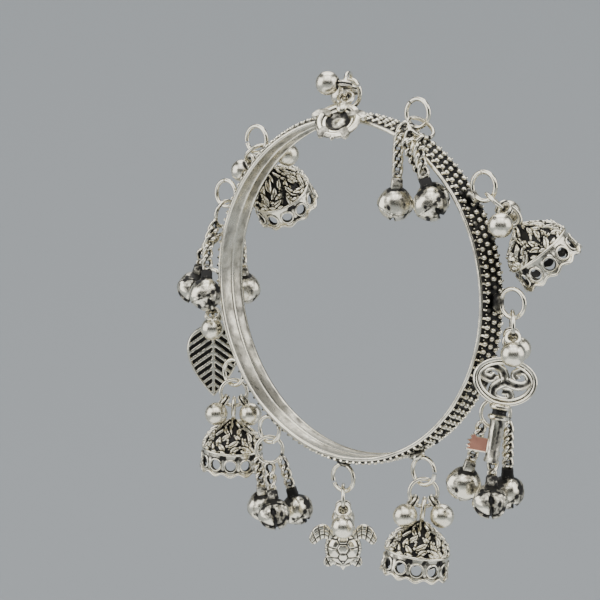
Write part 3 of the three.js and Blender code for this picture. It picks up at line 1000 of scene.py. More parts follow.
@dataclass
class Key:
    """A key with a three-armed scroll in its bow, two collars, a faceted barrel and a toothed bit."""

    finish: bpy.types.Material
    worn: bpy.types.Material
    bow_half_width: float = 5.5
    bow_half_height: float = 4.15
    bow_drop: float = 6.9
    bow_rim: float = 1.05
    bit_drop: float = 18.0

    # Points (across, depth, hollow) of the front of the bow's rim, which has a bright outer ridge, a dark
    # groove and a finer inner ridge, and of the front of a scroll, which has two ridges and a trough.
    BOW_FRONT = (
        (0.52, 0.40, 0.0),
        (0.47, 0.64, 0.0),
        (0.30, 0.76, 0.0),
        (0.05, 0.74, 0.0),
        (-0.14, 0.60, 0.15),
        (-0.22, 0.50, 0.8),
        (-0.30, 0.50, 0.8),
        (-0.38, 0.60, 0.1),
        (-0.55, 0.66, 0.0),
        (-0.70, 0.58, 0.0),
        (-0.80, 0.35, 0.35),
    )
    ARM_FRONT = (
        (1.0, 0.25, 0.2),
        (0.92, 0.45, 0.0),
        (0.65, 0.52, 0.0),
        (0.42, 0.40, 0.5),
        (0.0, 0.37, 0.65),
        (-0.42, 0.40, 0.5),
        (-0.65, 0.52, 0.0),
        (-0.92, 0.45, 0.0),
        (-1.0, 0.25, 0.2),
    )
    # Points (share of the bow's height, turn in degrees) along a scroll.
    ARM_STEPS = ((0.0, 0.0), (0.5, 8.0), (0.86, 34.0), (0.86, 66.0), (0.5, 74.0), (0.45, 46.0))
    # Profiles (radius, drop, hollow): the neck under the eye, the collars under the bow, and the barrel.
    NECK = ((0.0, 1.4, 0.5), (0.6, 1.4, 0.5), (0.5, 2.0, 0.3), (0.8, 3.0, 0.2), (0.0, 3.1, 0.2))
    COLLARS = (
        (0.0, 10.6, 0.0),
        (1.3, 10.6, 0.5),
        (1.65, 10.85, 0.1),
        (1.85, 11.15, 0.0),
        (1.85, 11.45, 0.0),
        (1.6, 11.7, 0.3),
        (1.25, 11.82, 1.0),
        (1.2, 12.15, 0.8),
        (1.25, 12.5, 1.0),
        (1.6, 12.62, 0.3),
        (1.85, 12.85, 0.0),
        (1.85, 13.2, 0.0),
        (1.6, 13.45, 0.2),
        (1.2, 13.55, 1.0),
        (0.0, 13.6, 1.0),
    )
    BARREL = (
        (0.0, 13.4, 0.5),
        (1.45, 13.4, 0.5),
        (1.32, 13.9, 0.0),
        (1.12, 19.9, 0.0),
        (1.22, 20.15, 0.2),
        (1.32, 20.4, 0.0),
        (1.2, 20.75, 0.0),
        (0.75, 20.8, 0.0),
        (0.7, 19.8, 1.0),
        (0.0, 19.8, 1.0),
    )
    # How dark the edges of the barrel's facets are, in turn round it.
    FACETS = (0.62, 0.38, 0.05)
    # Corners (x, z) of the bit.
    BIT = (
        (-0.6, 1.2),
        (-3.0, 1.2),
        (-3.6, 1.7),
        (-4.2, 1.2),
        (-3.9, 0.7),
        (-4.7, 0.4),
        (-4.0, 0.0),
        (-4.7, -0.5),
        (-4.0, -0.8),
        (-4.6, -1.3),
        (-0.6, -1.3),
    )
    # Rows (share of the outline's size, depth, hollow) over a face of the bit, from its edge inwards.
    BIT_FACE = ((1.0, 0.0, 0.2), (0.98, 0.5, 0.0), (0.88, 0.62, 0.0), (0.82, 0.5, 0.4), (0.6, 0.47, 0.0))

    def both_faces(self, front: tuple[Triple, ...]) -> Vec:
        """Gives the whole section from the points of its front, with its back alike."""
        back = [(across, -depth, hollow) for across, depth, hollow in reversed(front)]
        return np.array([*front, *back])

    def bow(self, skin: Skin) -> None:
        """Adds the oval rim of the bow and the three scrolls inside it.

        Args:
            skin: What they are added to.
        """
        angles = whole_turn(96)
        wide = self.bow_half_width - self.bow_rim / 2
        high = self.bow_half_height - self.bow_rim / 2
        x = wide * (1.0 + 0.07 * np.sin(angles)) * np.cos(angles)
        path = np.column_stack((x, high * np.sin(angles) - self.bow_drop))
        section = self.both_faces(self.BOW_FRONT)
        points = flat_sweep(path, section[:, :2], closed=True)
        skin.grid(points, np.broadcast_to(section[:, 2], points.shape[:2]), wrap_rows=True)
        section = self.both_faces(self.ARM_FRONT)
        steps = smooth_line(self.ARM_STEPS, 40)
        reach = high * steps[:, 0]
        widths = np.interp(np.linspace(0.0, 1.0, 40), (0.0, 0.3, 0.8, 1.0), (1.0, 0.76, 0.74, 0.6))
        for start in (100.0, 220.0, 340.0):
            turn = np.radians(start + steps[:, 1])
            across = reach * np.cos(turn) * self.bow_half_width / self.bow_half_height
            path = np.column_stack((across, reach * np.sin(turn) - self.bow_drop))
            points = flat_sweep(path, section[:, :2], widths)
            skin.grid(points, np.broadcast_to(section[:, 2], points.shape[:2]), caps=True)

    def stem(self, skin: Skin) -> None:
        """Adds the neck, the collars and the barrel, which has a flat to the front.

        Args:
            skin: What they are added to.
        """
        plain = (0.0,)
        parts = ((self.NECK, 24, plain), (self.COLLARS, 40, plain), (self.BARREL, 12, self.FACETS))
        for profile, columns, shade in parts:
            rows = np.array(profile)
            points = turned(np.column_stack((rows[:, 0], -rows[:, 1])), columns, math.pi / columns)
            skin.grid(points, np.maximum(rows[:, 2:], np.tile(shade, columns // len(shade))))

    def bit(self, silver: Skin) -> Skin:
        """Makes the bit: a plate whose raised edge kept its silver.

        Args:
            silver: What the edge is added to.

        Returns:
            The worn faces inside the edge.
        """
        worn = Skin()
        outline = np.array(self.BIT)
        middle = outline.mean(axis=0)
        rows = np.array(self.BIT_FACE)
        flat = middle + (outline - middle) * rows[:, :1, None]
        hollow = np.broadcast_to(rows[:, 2:], flat.shape[:2])
        for way in (-1, 1):
            depth = np.broadcast_to(way * rows[:, 1:2], flat.shape[:2])
            points = np.stack((flat[..., 0], depth, flat[..., 1] - self.bit_drop), axis=-1)
            silver.grid(points[:4], hollow[:4])
            worn.grid(points[3:], 0.1)
            worn.faces.append(list(range(worn.size - len(outline), worn.size)))
        return worn

    def build(self, name: str, at: Matrix) -> None:
        """Sets the key and its bit.

        Args:
            name: The name of the node that the key stands for.
            at: The key's place in the part's frame.
        """
        skin = Skin()
        wire_eye(skin)
        self.bow(skin)
        self.stem(skin)
        worn = self.bit(skin)
        set_piece(f"{name}_cast", skin.mesh("key", self.finish, 32.0), at, (name,), Slot.SILVER)
        set_piece(f"{name}_bit", worn.mesh("key_bit", self.worn, 32.0), at, (), Slot.SILVER)


@dataclass(frozen=True)
class TurtleSize:
    """What sets one turtle apart from another."""

    shell: float = 1.0
    depth: float = 1.0
    reach: float = 1.0
    lift: float = 1.0
    shell_drop: float = 6.6
    head_drop: float = 2.7


@dataclass
class Turtle:
    """A turtle with a scuted, hollow-backed shell and chequered flippers."""

    finish: bpy.types.Material
    size: TurtleSize
    stretch: float = 1.05
    thickness: float = 0.9
    head_radius: float = 1.25

    # Points (radius, depth) of the shell's outside and of its hollow back.
    DOME = ((0.0, -1.75), (1.0, -1.65), (2.0, -1.3), (2.65, -0.75), (2.8, -0.5), (3.2, -0.4), (3.4, -0.05))
    HOLLOW = (
        (3.4, 0.1), (3.3, 0.36), (3.0, 0.58), (2.65, 0.58), (2.4, 0.36), (2.3, 0.05),
        (2.0, 0.0), (1.85, -0.1), (1.6, -0.45), (0.9, -0.85), (0.0, -0.55),
    )
    # Points (radius, hollow): how dark the hollow back is. The hole's wall and the line at its step are dark
    # with patina, and its floor is lighter towards the middle. Painted shade darkens the ring towards its
    # outer edge.
    HOLLOW_PATINA_AND_SHADE = (
        (0.0, 0.15), (0.7, 0.3), (1.2, 0.75), (1.8, 0.7), (1.95, 0.05), (2.15, 0.1), (2.3, 0.8),
        (2.5, 0.08), (2.9, 0.0), (3.2, 0.15), (3.4, 0.4),
    )
    # Lines (x, z) between the scutes, in shares of the shell's half size; the other half is alike.
    SCUTES = (
        (
            (-0.20, 0.78), (-0.30, 0.52), (-0.19, 0.30), (-0.33, 0.05),
            (-0.19, -0.2), (-0.27, -0.42), (0.0, -0.8),
        ),
        ((-0.19, 0.30), (0.19, 0.30)),
        ((-0.19, -0.2), (0.19, -0.2)),
        ((-0.14, -0.6), (0.14, -0.6)),
        ((-0.30, 0.52), (-0.62, 0.55)),
        ((-0.33, 0.05), (-0.82, 0.1)),
        ((-0.27, -0.42), (-0.68, -0.45)),
    )
    # Points (x, z) along the upper and the lower edge of the right flippers, from the shell outwards.
    FRONT_EDGES = (
        ((1.6, 2.5), (2.6, 4.0), (3.8, 4.5), (5.3, 3.8), (6.2, 2.1), (6.15, 1.35)),
        ((2.2, 1.3), (2.9, 1.6), (3.7, 1.75), (4.5, 1.2), (5.2, 0.7), (5.8, 0.85)),
    )
    REAR_EDGES = (
        ((1.3, -1.9), (2.3, -1.3), (3.2, -1.6), (3.6, -2.6), (3.35, -3.1)),
        ((1.2, -2.8), (1.7, -3.05), (2.3, -3.45), (2.7, -3.45), (3.0, -3.35)),
    )

    def shell(self, skin: Skin) -> None:
        """Adds the shell, its scutes cut by dark lines and its back hollow, whose ring carries painted shade
        towards its outer edge.

        Args:
            skin: What it is added to.
        """
        columns, rows = 144, 46
        outside = smooth_line(self.DOME, rows)
        inside = smooth_line(self.HOLLOW, rows)
        angles = whole_turn(columns)
        share = outside[:, :1] / self.DOME[-1][0]
        flat = np.stack((share * np.cos(angles), share * np.sin(angles)), axis=-1)
        other_half = [[(-x, z) for x, z in line] for line in self.SCUTES]
        marks = lines_near(flat, [*self.SCUTES, *other_half], 0.034)
        marks = marks * (1.0 - ease(share, 0.8, 0.84))
        ring = np.exp(-(((share - 0.82) / 0.03) ** 2))
        notches = np.exp(-((np.sin(angles * 11.0) / 0.3) ** 2))[None, :] * ease(share, 0.83, 0.88)
        groove = np.maximum(np.maximum(marks, ring), 0.9 * notches)
        front = self.laid(outside[:, :1], outside[:, 1:] * self.size.depth + 0.2 * groove, angles)
        back = self.laid(inside[:, :1], inside[:, 1:] * self.size.depth, angles)
        # Patina darkens the hole's wall, and painted shade darkens the ring towards its outer edge.
        shade = np.interp(inside[:, :1], *np.transpose(self.HOLLOW_PATINA_AND_SHADE))
        hollow = np.concatenate((groove, np.broadcast_to(shade, back.shape[:2])))
        skin.grid(np.concatenate((front, back)), hollow)

    def laid(self, radius: Vec, depth: Vec, angles: Vec) -> Vec:
        """Lays rings of points about the shell's middle.

        Args:
            radius: Each ring's radius, in a column.
            depth: How far to the back the points lie, for each ring or each point.
            angles: The points' angles round the rings.

        Returns:
            A grid of points with one ring in each row.
        """
        x = radius * np.cos(angles) * self.size.shell
        z = radius * np.sin(angles) * self.size.shell * self.stretch - self.size.shell_drop
        return np.stack((x, np.broadcast_to(depth, x.shape), z), axis=-1)

    def flipper(self, skin: Skin, edges: tuple[Edge, Edge], cells: tuple[int, int], way: int) -> None:
        """Adds a flipper, with painted shade over its back.

        Args:
            skin: What it is added to.
            edges: Points (x, z) of its upper and of its lower edge, from the shell outwards.
            cells: How many raised cells it has along and across.
            way: 1 for the right side, -1 for the left.
        """
        along, across = 50, 26
        upper, lower = (smooth_line(edge, along)[:, None] for edge in edges)
        share = np.linspace(0.0, 1.0, across)[None, :, None]
        flat = upper * (1.0 - share) + lower * share
        x = flat[..., 0] * way * self.size.reach
        scale = np.where(flat[..., 1] > 0, self.size.lift, self.size.shell)
        z = flat[..., 1] * scale - self.size.shell_drop
        v = np.linspace(0.0, 1.0, along)[:, None]
        u = share[..., 0]
        body = (1.0 - np.abs(2.0 * u - 1.0) ** 6) ** 0.5 * (1.0 - v**14) ** 0.5
        body = np.maximum(body, 0.05)
        lattice = np.minimum(np.abs(np.sin(math.pi * cells[0] * v)), np.abs(np.sin(math.pi * cells[1] * u)))
        groove = 1.0 - ease(lattice, 0.08, 0.36)
        inner = (1.0 - ease(np.abs(2.0 * u - 1.0), 0.9, 0.96)) * (1.0 - ease(v, 0.93, 0.98))
        groove = groove * inner
        half = self.thickness / 2
        front = np.stack((x, -half * body + 0.2 * groove * body, z), axis=-1)
        back = np.stack((x, half * body, z), axis=-1)
        loop = np.concatenate((front, back[:, ::-1]), axis=1)
        # The flippers' backs get an even painted shade, darker than the shell's ring so that the ring stands
        # out against them.
        skin.grid(loop, np.concatenate((groove, np.full_like(groove, 0.42)), axis=1), caps=True)

    def head(self, skin: Skin) -> None:
        """Adds the head, with its two eyes, and the tail.

        Args:
            skin: What they are added to.
        """
        centre = np.array((0.0, 0.0, -self.size.head_drop))
        skin.grid(ball(self.head_radius, 25, 36) * np.array((0.9, 0.7, 1.2)) + centre, 0.0)
        for way in (-1, 1):
            spot = centre + np.array((0.55 * way, -0.62, 0.5))
            skin.grid(ball(0.26, 11, 16) + spot, 0.9)
        # Points (half width, height over the tail's foot) down the tail.
        tail = smooth_line(((0.95, 0.3), (0.55, -0.45), (0.08, -1.1)), 16)
        foot = -3.0 * self.size.shell - self.size.shell_drop
        turn = whole_turn(16)
        x = tail[:, :1] * np.cos(turn)
        y = np.minimum(tail[:, :1], 0.4) * np.sin(turn)
        z = np.broadcast_to(tail[:, 1:] + foot, x.shape)
        skin.grid(np.stack((x, y, z), axis=-1), 0.0, caps=True)

    def mesh(self) -> bpy.types.Mesh:
        """Makes the turtle's mesh.

        Returns:
            The mesh.
        """
        skin = Skin()
        wire_eye(skin)
        self.shell(skin)
        for way in (-1, 1):
            self.flipper(skin, self.FRONT_EDGES, (6, 3), way)
            self.flipper(skin, self.REAR_EDGES, (2, 2), way)
        self.head(skin)
        return skin.mesh("turtle", self.finish, 50.0)


@dataclass
class Leaf:
    """A pointed leaf with a raised border, a midrib and slanted veins over a black ground."""

    finish: bpy.types.Material
    top: float = 1.4
    length: float = 14.0
    half_width: float = 5.0
    veins: int = 7

    def outline(self, count: int) -> tuple[Vec, Vec]:
        """Gives the leaf's outline, a cubic curve from its stem to its point.

        Args:
            count: How many points to give.

        Returns:
            The half widths, and the drops below the eye, each in a column.
        """
        t = np.linspace(0.004, 0.996, count)[:, None]
        tip = self.top + self.length
        pull = 0.6 * self.top + 0.4 * tip
        half = 3.0 * (1.0 - t) ** 2 * t * self.half_width + 3.0 * (1.0 - t) * t**2 * 1.68 * self.half_width
        drop = (1.0 - t) ** 3 * self.top + 3.0 * (1.0 - t) ** 2 * t * self.top
        return half, drop + 3.0 * (1.0 - t) * t**2 * pull + t**3 * tip

    def mesh(self) -> bpy.types.Mesh:
        """Makes the leaf's mesh.

        Returns:
            The mesh.
        """
        skin = Skin()
        wire_eye(skin)
        half, drop = self.outline(170)
        u = np.linspace(-1.0, 1.0, 84)[None, :]
        x = half * u
        z = np.broadcast_to(-drop, x.shape)
        inset = half * (1.0 - np.abs(u))
        border = 1.0 - ease(inset, 0.5, 0.66)
        midrib = 1.0 - ease(np.abs(x), 0.22, 0.42)
        pitch = self.length * 0.92 / (self.veins + 1.5)
        run = (drop - self.top - 0.72 * np.abs(x)) / pitch
        vein = 1.0 - ease(np.abs((run % 1.0) - 0.5) * pitch, 0.3, 0.44)
        raised = np.maximum(np.maximum(border, midrib), 0.95 * vein)
        rounding = np.maximum(np.clip(inset / 0.3, 0.0, 1.0) ** 0.5, 0.1)
        face = np.stack((x, -(0.12 + 0.43 * raised) * rounding, z), axis=-1)
        back = np.stack((x, 0.5 * rounding, z), axis=-1)
        hollow = np.concatenate((1.0 - raised, np.full_like(raised, 0.2)), axis=1)
        skin.grid(np.concatenate((face, back[:, ::-1]), axis=1), hollow, caps=True)
        return skin.mesh("leaf", self.finish, 50.0)


@dataclass
class Jingle:
    """A round jingle bell with a seam, crossed slots below and a square neck that ends in an eye."""

    finish: bpy.types.Material
    radius: float = 3.0
    neck_radius: float = 1.2
    neck_length: float = 2.0
    slot_half_width: float = 0.24
    slot_reach: float = 2.45
    dent: float = 0.04

    # How far each jingle's seam and slots nod to the back and roll to the side, in degrees.
    TILTS = ((34.0, 8.0), (-34.0, -6.0), (14.0, -30.0))

    def seam_axes(self, seed: int) -> Vec:
        """Gives the axes that a jingle's seam and slots follow.

        Args:
            seed: The jingle's place in the tassel.

        Returns:
            The axes, as the columns of a matrix.
        """
        nod, roll = np.radians(self.TILTS[seed])
        nodded = np.array(Matrix.Rotation(nod, 3, "X"))
        return np.array(Matrix.Rotation(roll, 3, "Y")) @ nodded

    def dents(self, points: Vec, seed: int) -> Vec:
        """Gives the shallow waves of a hand-beaten ball.

        Args:
            points: The ball's points.
            seed: What the waves are drawn from.

        Returns:
            The waves' height at each point.
        """
        draw = np.random.default_rng(70 + seed)
        height = np.zeros(points.shape[:2])
        for _ in range(6):
            pace = unit(draw.normal(size=3)) * draw.uniform(1.2, 2.4)
            height += np.cos(points @ pace + draw.uniform(0.0, 2 * math.pi))
        return self.dent * height

    def slots(self, x: Vec, y: Vec, z: Vec) -> Vec:
        """Gives the crossed slots, with the round hole at each of their ends.

        Args:
            x: How far along one slot each point lies.
            y: How far along the other.
            z: Its height over the seam.

        Returns:
            1 in a slot and 0 on the ball.
        """
        across = np.minimum(np.abs(x), np.abs(y))
        below = (z < 0).astype(float)
        slot = (1.0 - ease(across, self.slot_half_width, self.slot_half_width + 0.12)) * below
        slot = slot * (1.0 - ease(np.hypot(x, y), self.slot_reach, self.slot_reach + 0.2))
        for way in (-self.slot_reach, self.slot_reach):
            for gap in (np.hypot(x - way, y), np.hypot(x, y - way)):
                slot = np.maximum(slot, (1.0 - ease(gap, 0.4, 0.52)) * below)
        return slot

    def mesh(self, seed: int) -> bpy.types.Mesh:
        """Makes the jingle's mesh.

        Args:
            seed: What its dents, spots and tilt are drawn from.

        Returns:
            The mesh.
        """
        skin = Skin()
        points = ball(self.radius, 61, 96)
        x, y, z = np.moveaxis(points @ self.seam_axes(seed), -1, 0)
        seam = np.exp(-(((np.abs(z) - 0.16) / 0.12) ** 2))
        lip = np.exp(-((z / 0.09) ** 2))
        slot = self.slots(x, y, z)
        waves = self.dents(points, seed)
        lift = waves + 0.1 * seam - 0.12 * lip - 0.55 * slot
        collar = 1.0 - ease(self.radius - points[..., 2], 0.1, 1.1 + 0.3 * seed)
        hollow = np.maximum(np.maximum(slot, 0.9 * lip), 0.8 * collar)
        draw = np.random.default_rng(90 + seed)
        for _ in range(40):
            spot = unit(draw.normal(size=3))
            near = 1.0 - points @ spot / self.radius
            hollow = np.maximum(hollow, draw.uniform(0.2, 0.6) * np.exp(-((near / 0.012) ** 2)))
        near_slot = 0.5 * (1.0 - ease(np.minimum(np.abs(x), np.abs(y)), 0.3, 1.2)) * (z < 0)
        near_slot = near_slot * (1.0 - ease(np.hypot(x, y), 2.3, 2.95))
        hollow = np.clip(np.maximum(hollow, near_slot) + 0.08 - 3.5 * waves, 0.0, 1.0)
        skin.grid(points * (1.0 + lift / self.radius)[..., None], hollow)
        self.neck(skin, 0.35 + 0.25 * seed)
        return skin.mesh("jingle", self.finish, 50.0)

    def neck(self, skin: Skin, tarnish: float) -> None:
        """Adds the square neck and the eye that the chain ends in.

        Args:
            skin: What they are added to.
            tarnish: How dark the neck is.
        """
        angles = whole_turn(40)
        square = (np.abs(np.cos(angles)) ** 5 + np.abs(np.sin(angles)) ** 5) ** -0.2
        low = self.radius - 0.5
        high = low + self.neck_length
        # Rows (share of the neck's radius, height) from the ball upwards.
        rows = (
            (0.85, low),
            (1.0, low + 0.7),
            (0.92, low + 0.9),
            (0.92, high - 0.25),
            (0.8, high),
            (0.0, high + 0.05),
        )
        loops = []
        for share, z in rows:
            reach = share * self.neck_radius * square * 0.92
            loops.append(np.column_stack((reach * np.cos(angles), reach * np.sin(angles), np.full(40, z))))
        skin.grid(np.array(loops), tarnish)
        eye = tube(circle(0.62, 28), 0.26, 10, closed=True)
        skin.grid(eye + np.array((0.0, 0.0, high + 0.45)), 0.35, wrap_rows=True)


@dataclass
class CurbChain:
    """A short curb chain of twisted oval links."""

    finish: bpy.types.Material
    wire: float = 0.36
    pitch: float = 1.7
    width: float = 2.05
    twist: float = 0.55

    def link(self, pitch: float) -> Skin:
        """Makes a link that lies along Z, with its flat towards -Y.

        Args:
            pitch: The distance from one link to the next.

        Returns:
            The link's skin.
        """
        skin = Skin()
        angles = whole_turn(36)
        x = (self.width / 2 - self.wire) * np.sin(angles)
        y = self.twist * np.sin(2 * angles)
        z = (pitch / 2 + self.wire) * np.cos(angles)
        points = tube(np.column_stack((x, y, z)), self.wire, 10, closed=True)
        inside = np.linalg.norm(points[..., [0, 2]], axis=-1)
        middle = np.linalg.norm(np.column_stack((x, z)), axis=-1)[:, None]
        skin.grid(points, 0.75 * ease(middle - inside, -0.05, 0.28), wrap_rows=True)
        return skin

    def mesh(self, name: str, route: list[Vec], roll: float) -> bpy.types.Mesh:
        """Makes the chain along a route.

        Args:
            name: The mesh's name.
            route: The points that its middle line passes.
            roll: How far the links' flat turns from the front, in degrees.

        Returns:
            The chain's mesh.
        """
        skin = Skin()
        line = smooth_line(np.array(route), 120)
        length = run_length(line)
        count = max(2, round(length[-1] / self.pitch))
        pitch = length[-1] / count
        link = self.link(pitch)
        ahead = np.gradient(line, axis=0)
        cosine, sine = math.cos(math.radians(roll)), math.sin(math.radians(roll))
        for i in range(count):
            at = (i + 0.5) * pitch
            origin = np.array([np.interp(at, length, line[:, axis]) for axis in range(3)])
            up = -unit([np.interp(at, length, ahead[:, axis]) for axis in range(3)])
            back = -square_to(FACING, up)
            right = np.cross(back, up)
            axes = np.column_stack((cosine * right - sine * back, cosine * back + sine * right, up))
            skin.join(link, axes, origin)
        return skin.mesh(name, self.finish)


class CharmKind(Enum):
    """The kinds of charm on the bangle."""

    BELL = "bell"
    KEY = "key"
    TURTLE = "turtle"
    BROAD_TURTLE = "broad turtle"
    LEAF = "leaf"


@dataclass(frozen=True)
class DropPlace:
    """Where a ball drop sits round its jump ring, in degrees, and the way it hangs."""

    seat: float
    hang: Triple


@dataclass(frozen=True)
class RingPlace:
    """How a jump ring hangs on a loop of the band: where it grips the wire, its pull and its other axis."""

    name: str
    angle: float
    grip: float
    pull: Triple
    across: Triple

    def axes(self) -> tuple[Vec, Vec]:
        """Gives the ring's down and sideways directions."""
        down = unit(self.pull)
        return down, square_to(self.across, down)

    def loop(self) -> Vec:
        """Gives the middle of the loop that the ring hangs on."""
        return LOOP_ORBIT * outward(math.radians(self.angle))

    def centre(self) -> Vec:
        """Gives the ring's middle."""
        grip = LOOP_RADIUS * outward(math.radians(self.grip))
        return self.loop() + grip + RING_FALL * self.axes()[0]

    def wire(self, seat: float) -> tuple[Vec, Vec]:
        """Finds a seat on the ring's wire.

        Args:
            seat: Its angle from the ring's bottom, in degrees.

        Returns:
            The point on the wire's middle line, and the way the wire runs there.
        """
        down, side = self.axes()
        cosine, sine = math.cos(math.radians(seat)), math.sin(math.radians(seat))
        return self.centre() + RING_RADIUS * (cosine * down + sine * side), cosine * side - sine * down

    def place(self) -> Matrix:
        """Gives the ring's place in the part's frame."""
        down, side = self.axes()
        return place(self.centre(), down, np.cross(side, down))


@dataclass(frozen=True)
class CharmPlace(RingPlace):
    """A charm, its jump ring and its ball drops."""

    kind: CharmKind
    hang: Triple
    front: Triple
    seat: float = 0.0
    drops: tuple[DropPlace, ...] = ()

    def all_drops(self) -> tuple[DropPlace, ...]:
        """Gives the ball drops; where none are listed, a pair leans out on both sides of the charm.

        Returns:
            The drops' places.
        """
        if self.drops:
            return self.drops
        seat, lean, forward = (50.0, 32.0, 0.75) if self.kind is CharmKind.BELL else (42.0, 33.0, 0.0)
        down, side = self.axes()
        hang = math.cos(math.radians(lean)) * down - forward * np.cross(side, down)
        beside = math.sin(math.radians(lean)) * side
        return tuple(DropPlace(way * seat, tuple(hang + way * beside)) for way in (1, -1))


@dataclass(frozen=True)
class ChainPlace:
    """A tassel's chain: its seat on the ring, and its bend and jingle from the loop's middle."""

    seat: float
    jingle: Triple
    bend: Triple | None = None


@dataclass(frozen=True)
class TasselPlace(RingPlace):
    """A tassel's jump ring and its chains."""

    chains: tuple[ChainPlace, ...]


# Each row gives the name, the loop's angle, the ring's grip, pull and other axis, then the charm's kind, the
# way it hangs, the way it faces, its seat on the ring, and the ball drops that hang in a way of their own.
CHARMS = (
    CharmPlace(
        "bell_right", 35, -50, (0.57, 0.48, -0.67), FACING, CharmKind.BELL, (0.48, 0.42, -0.77), FACING,
        drops=(DropPlace(52, (0.2, -0.66, -0.72)), DropPlace(-58, (-0.25, 0.9, -0.35))),
    ),
    CharmPlace(
        "key", 1, -90, DOWN, FACING, CharmKind.KEY, (-0.04, -0.22, -0.975), FACING,
        drops=(DropPlace(42, (0.4, -0.5, -0.77)), DropPlace(-44, (0.1, 0.55, -0.83))),
    ),
    CharmPlace("bell_low", 297.5, -90, DOWN, BESIDE, CharmKind.BELL, (-0.1, -0.08, -0.99), BESIDE),
    CharmPlace("turtle_low", 266, -90, DOWN, FACING, CharmKind.TURTLE, DOWN, FACING),
    CharmPlace("bell_left", 212, -90, DOWN, BESIDE, CharmKind.BELL, (-0.1, 0.05, -0.99), BESIDE),
    CharmPlace(
        "leaf", 183, -90, DOWN, FACING, CharmKind.LEAF, DOWN, FACING,
        drops=(DropPlace(42, (0.35, -0.42, -0.84)),),
    ),
    CharmPlace(
        "bell_back", 132.5, -109, (0, 0.96, -0.28), (-0.77, 0, -0.64), CharmKind.BELL,
        (-0.04, 0.61, -0.79), (-0.7, -0.4, -0.45), 20,
        drops=(DropPlace(80, (-0.8, 0.1, -0.59)), DropPlace(-40, (0.62, 0.75, -0.22))),
    ),
    CharmPlace(
        "turtle_top", 92, 90, (0.16, -0.36, -0.92), (0.4, -0.917, 0), CharmKind.BROAD_TURTLE,
        (0.27, -0.69, -0.67), (-0.26, 0.62, -0.74), 22,
        drops=(DropPlace(80, (-0.9, -0.42, 0.05)), DropPlace(-95, (-0.93, 0.2, -0.3))),
    ),
)
TASSELS = (
    TasselPlace(
        "tassel_top", 66, -54, (0.19, -0.94, -0.28), (0.73, 0.32, -0.58),
        (
            ChainPlace(-60, (-0.9, -4.8, -15.5), (-0.5, -4.4, -4.0)),
            ChainPlace(-10, (3.0, 0.7, -14.7), (1.8, -4.8, -5.4)),
            ChainPlace(40, (6.5, -4.5, -15.1), (3.6, -4.2, -6.1)),
        ),
    ),
    TasselPlace(
        "tassel_right", 335, -90, DOWN, BESIDE,
        (
            ChainPlace(-60, (-5.1, -2.0, -16.7)),
            ChainPlace(0, (1.4, -3.2, -18.7)),
            ChainPlace(60, (0.4, 3.1, -18.2)),
        ),
    ),
    TasselPlace(
        "tassel_low", 234, -90, DOWN, BESIDE,
        (
            ChainPlace(-60, (-2.7, 1.4, -15.3)),
            ChainPlace(0, (2.9, -1.9, -15.5)),
            ChainPlace(60, (2.9, 4.6, -15.7)),
        ),
    ),
    TasselPlace(
        "tassel_left", 154, -90, (-0.2, 0, -0.98), (0, -1, 0),
        (
            ChainPlace(-60, (-0.9, 6.0, -18.7), (-0.5, 4.4, -9.2)),
            ChainPlace(0, (-3.9, -5.0, -17.8), (-2.9, -3.0, -10.7)),
            ChainPlace(60, (1.9, -7.7, -18.2), (0.6, -5.5, -9.2)),
        ),
    ),
)


@dataclass
class Charms:
    """All the charms with their jump rings and ball drops.

    The eye's fall is how far the middle of a charm's eye hangs below the wire's middle line.
    """

    eye_fall: float = 0.2

    def __post_init__(self) -> None:
        """Makes the meshes that like charms share."""
        silver = AntiqueSilver("charm_silver").material()
        relief = AntiqueSilver("relief_silver", polish=0.2, stain=0.32, stain_size=2.0).material()
        plating = AntiqueSilver(
            "worn_plating", bright=(0.84, 0.43, 0.32), warm=(0.70, 0.33, 0.24), polish=0.42, stain=0.2
        )
        polished = AntiqueSilver("polished_silver", polish=0.235, stain=0.12, grain=0.06)
        broad = TurtleSize(shell=1.22, depth=0.7, reach=0.82, lift=0.6, shell_drop=5.6, head_drop=2.2)
        self.ring = JumpRing(silver).mesh()
        self.drop = BallDrop(polished.material()).mesh()
        self.key = Key(silver, plating.material())
        self.shapes = {
            CharmKind.BELL: Bell(relief).mesh(),
            CharmKind.TURTLE: Turtle(silver, TurtleSize()).mesh(),
            CharmKind.BROAD_TURTLE: Turtle(relief, broad).mesh(),
            CharmKind.LEAF: Leaf(silver).mesh(),
        }

    def hang(self, charm: CharmPlace) -> None:
        """Sets one charm, its jump ring and its ball drops.

        Args:
            charm: The charm's place.
        """
        name = charm.name
        set_piece(f"{name}_jump_ring", self.ring, charm.place(), (f"{name}_ring",), Slot.SILVER)
        eye = charm.wire(charm.seat)[0] + self.eye_fall * unit(charm.hang)
        at = place(eye, charm.hang, charm.front)
        if charm.kind is CharmKind.KEY:
            self.key.build(name, at)
        else:
            set_piece(f"{name}_cast", self.shapes[charm.kind], at, (name,), Slot.SILVER)
        for i, drop in enumerate(charm.all_drops(), 1):
            point, along = charm.wire(drop.seat)
            at = place(point, drop.hang, along)
            set_piece(f"{name}_ball_drop_{i}", self.drop, at, (f"{name}_ball_{i}",), Slot.SILVER)

    def build(self) -> None:
        """Sets every charm."""
        for charm in CHARMS:
            self.hang(charm)


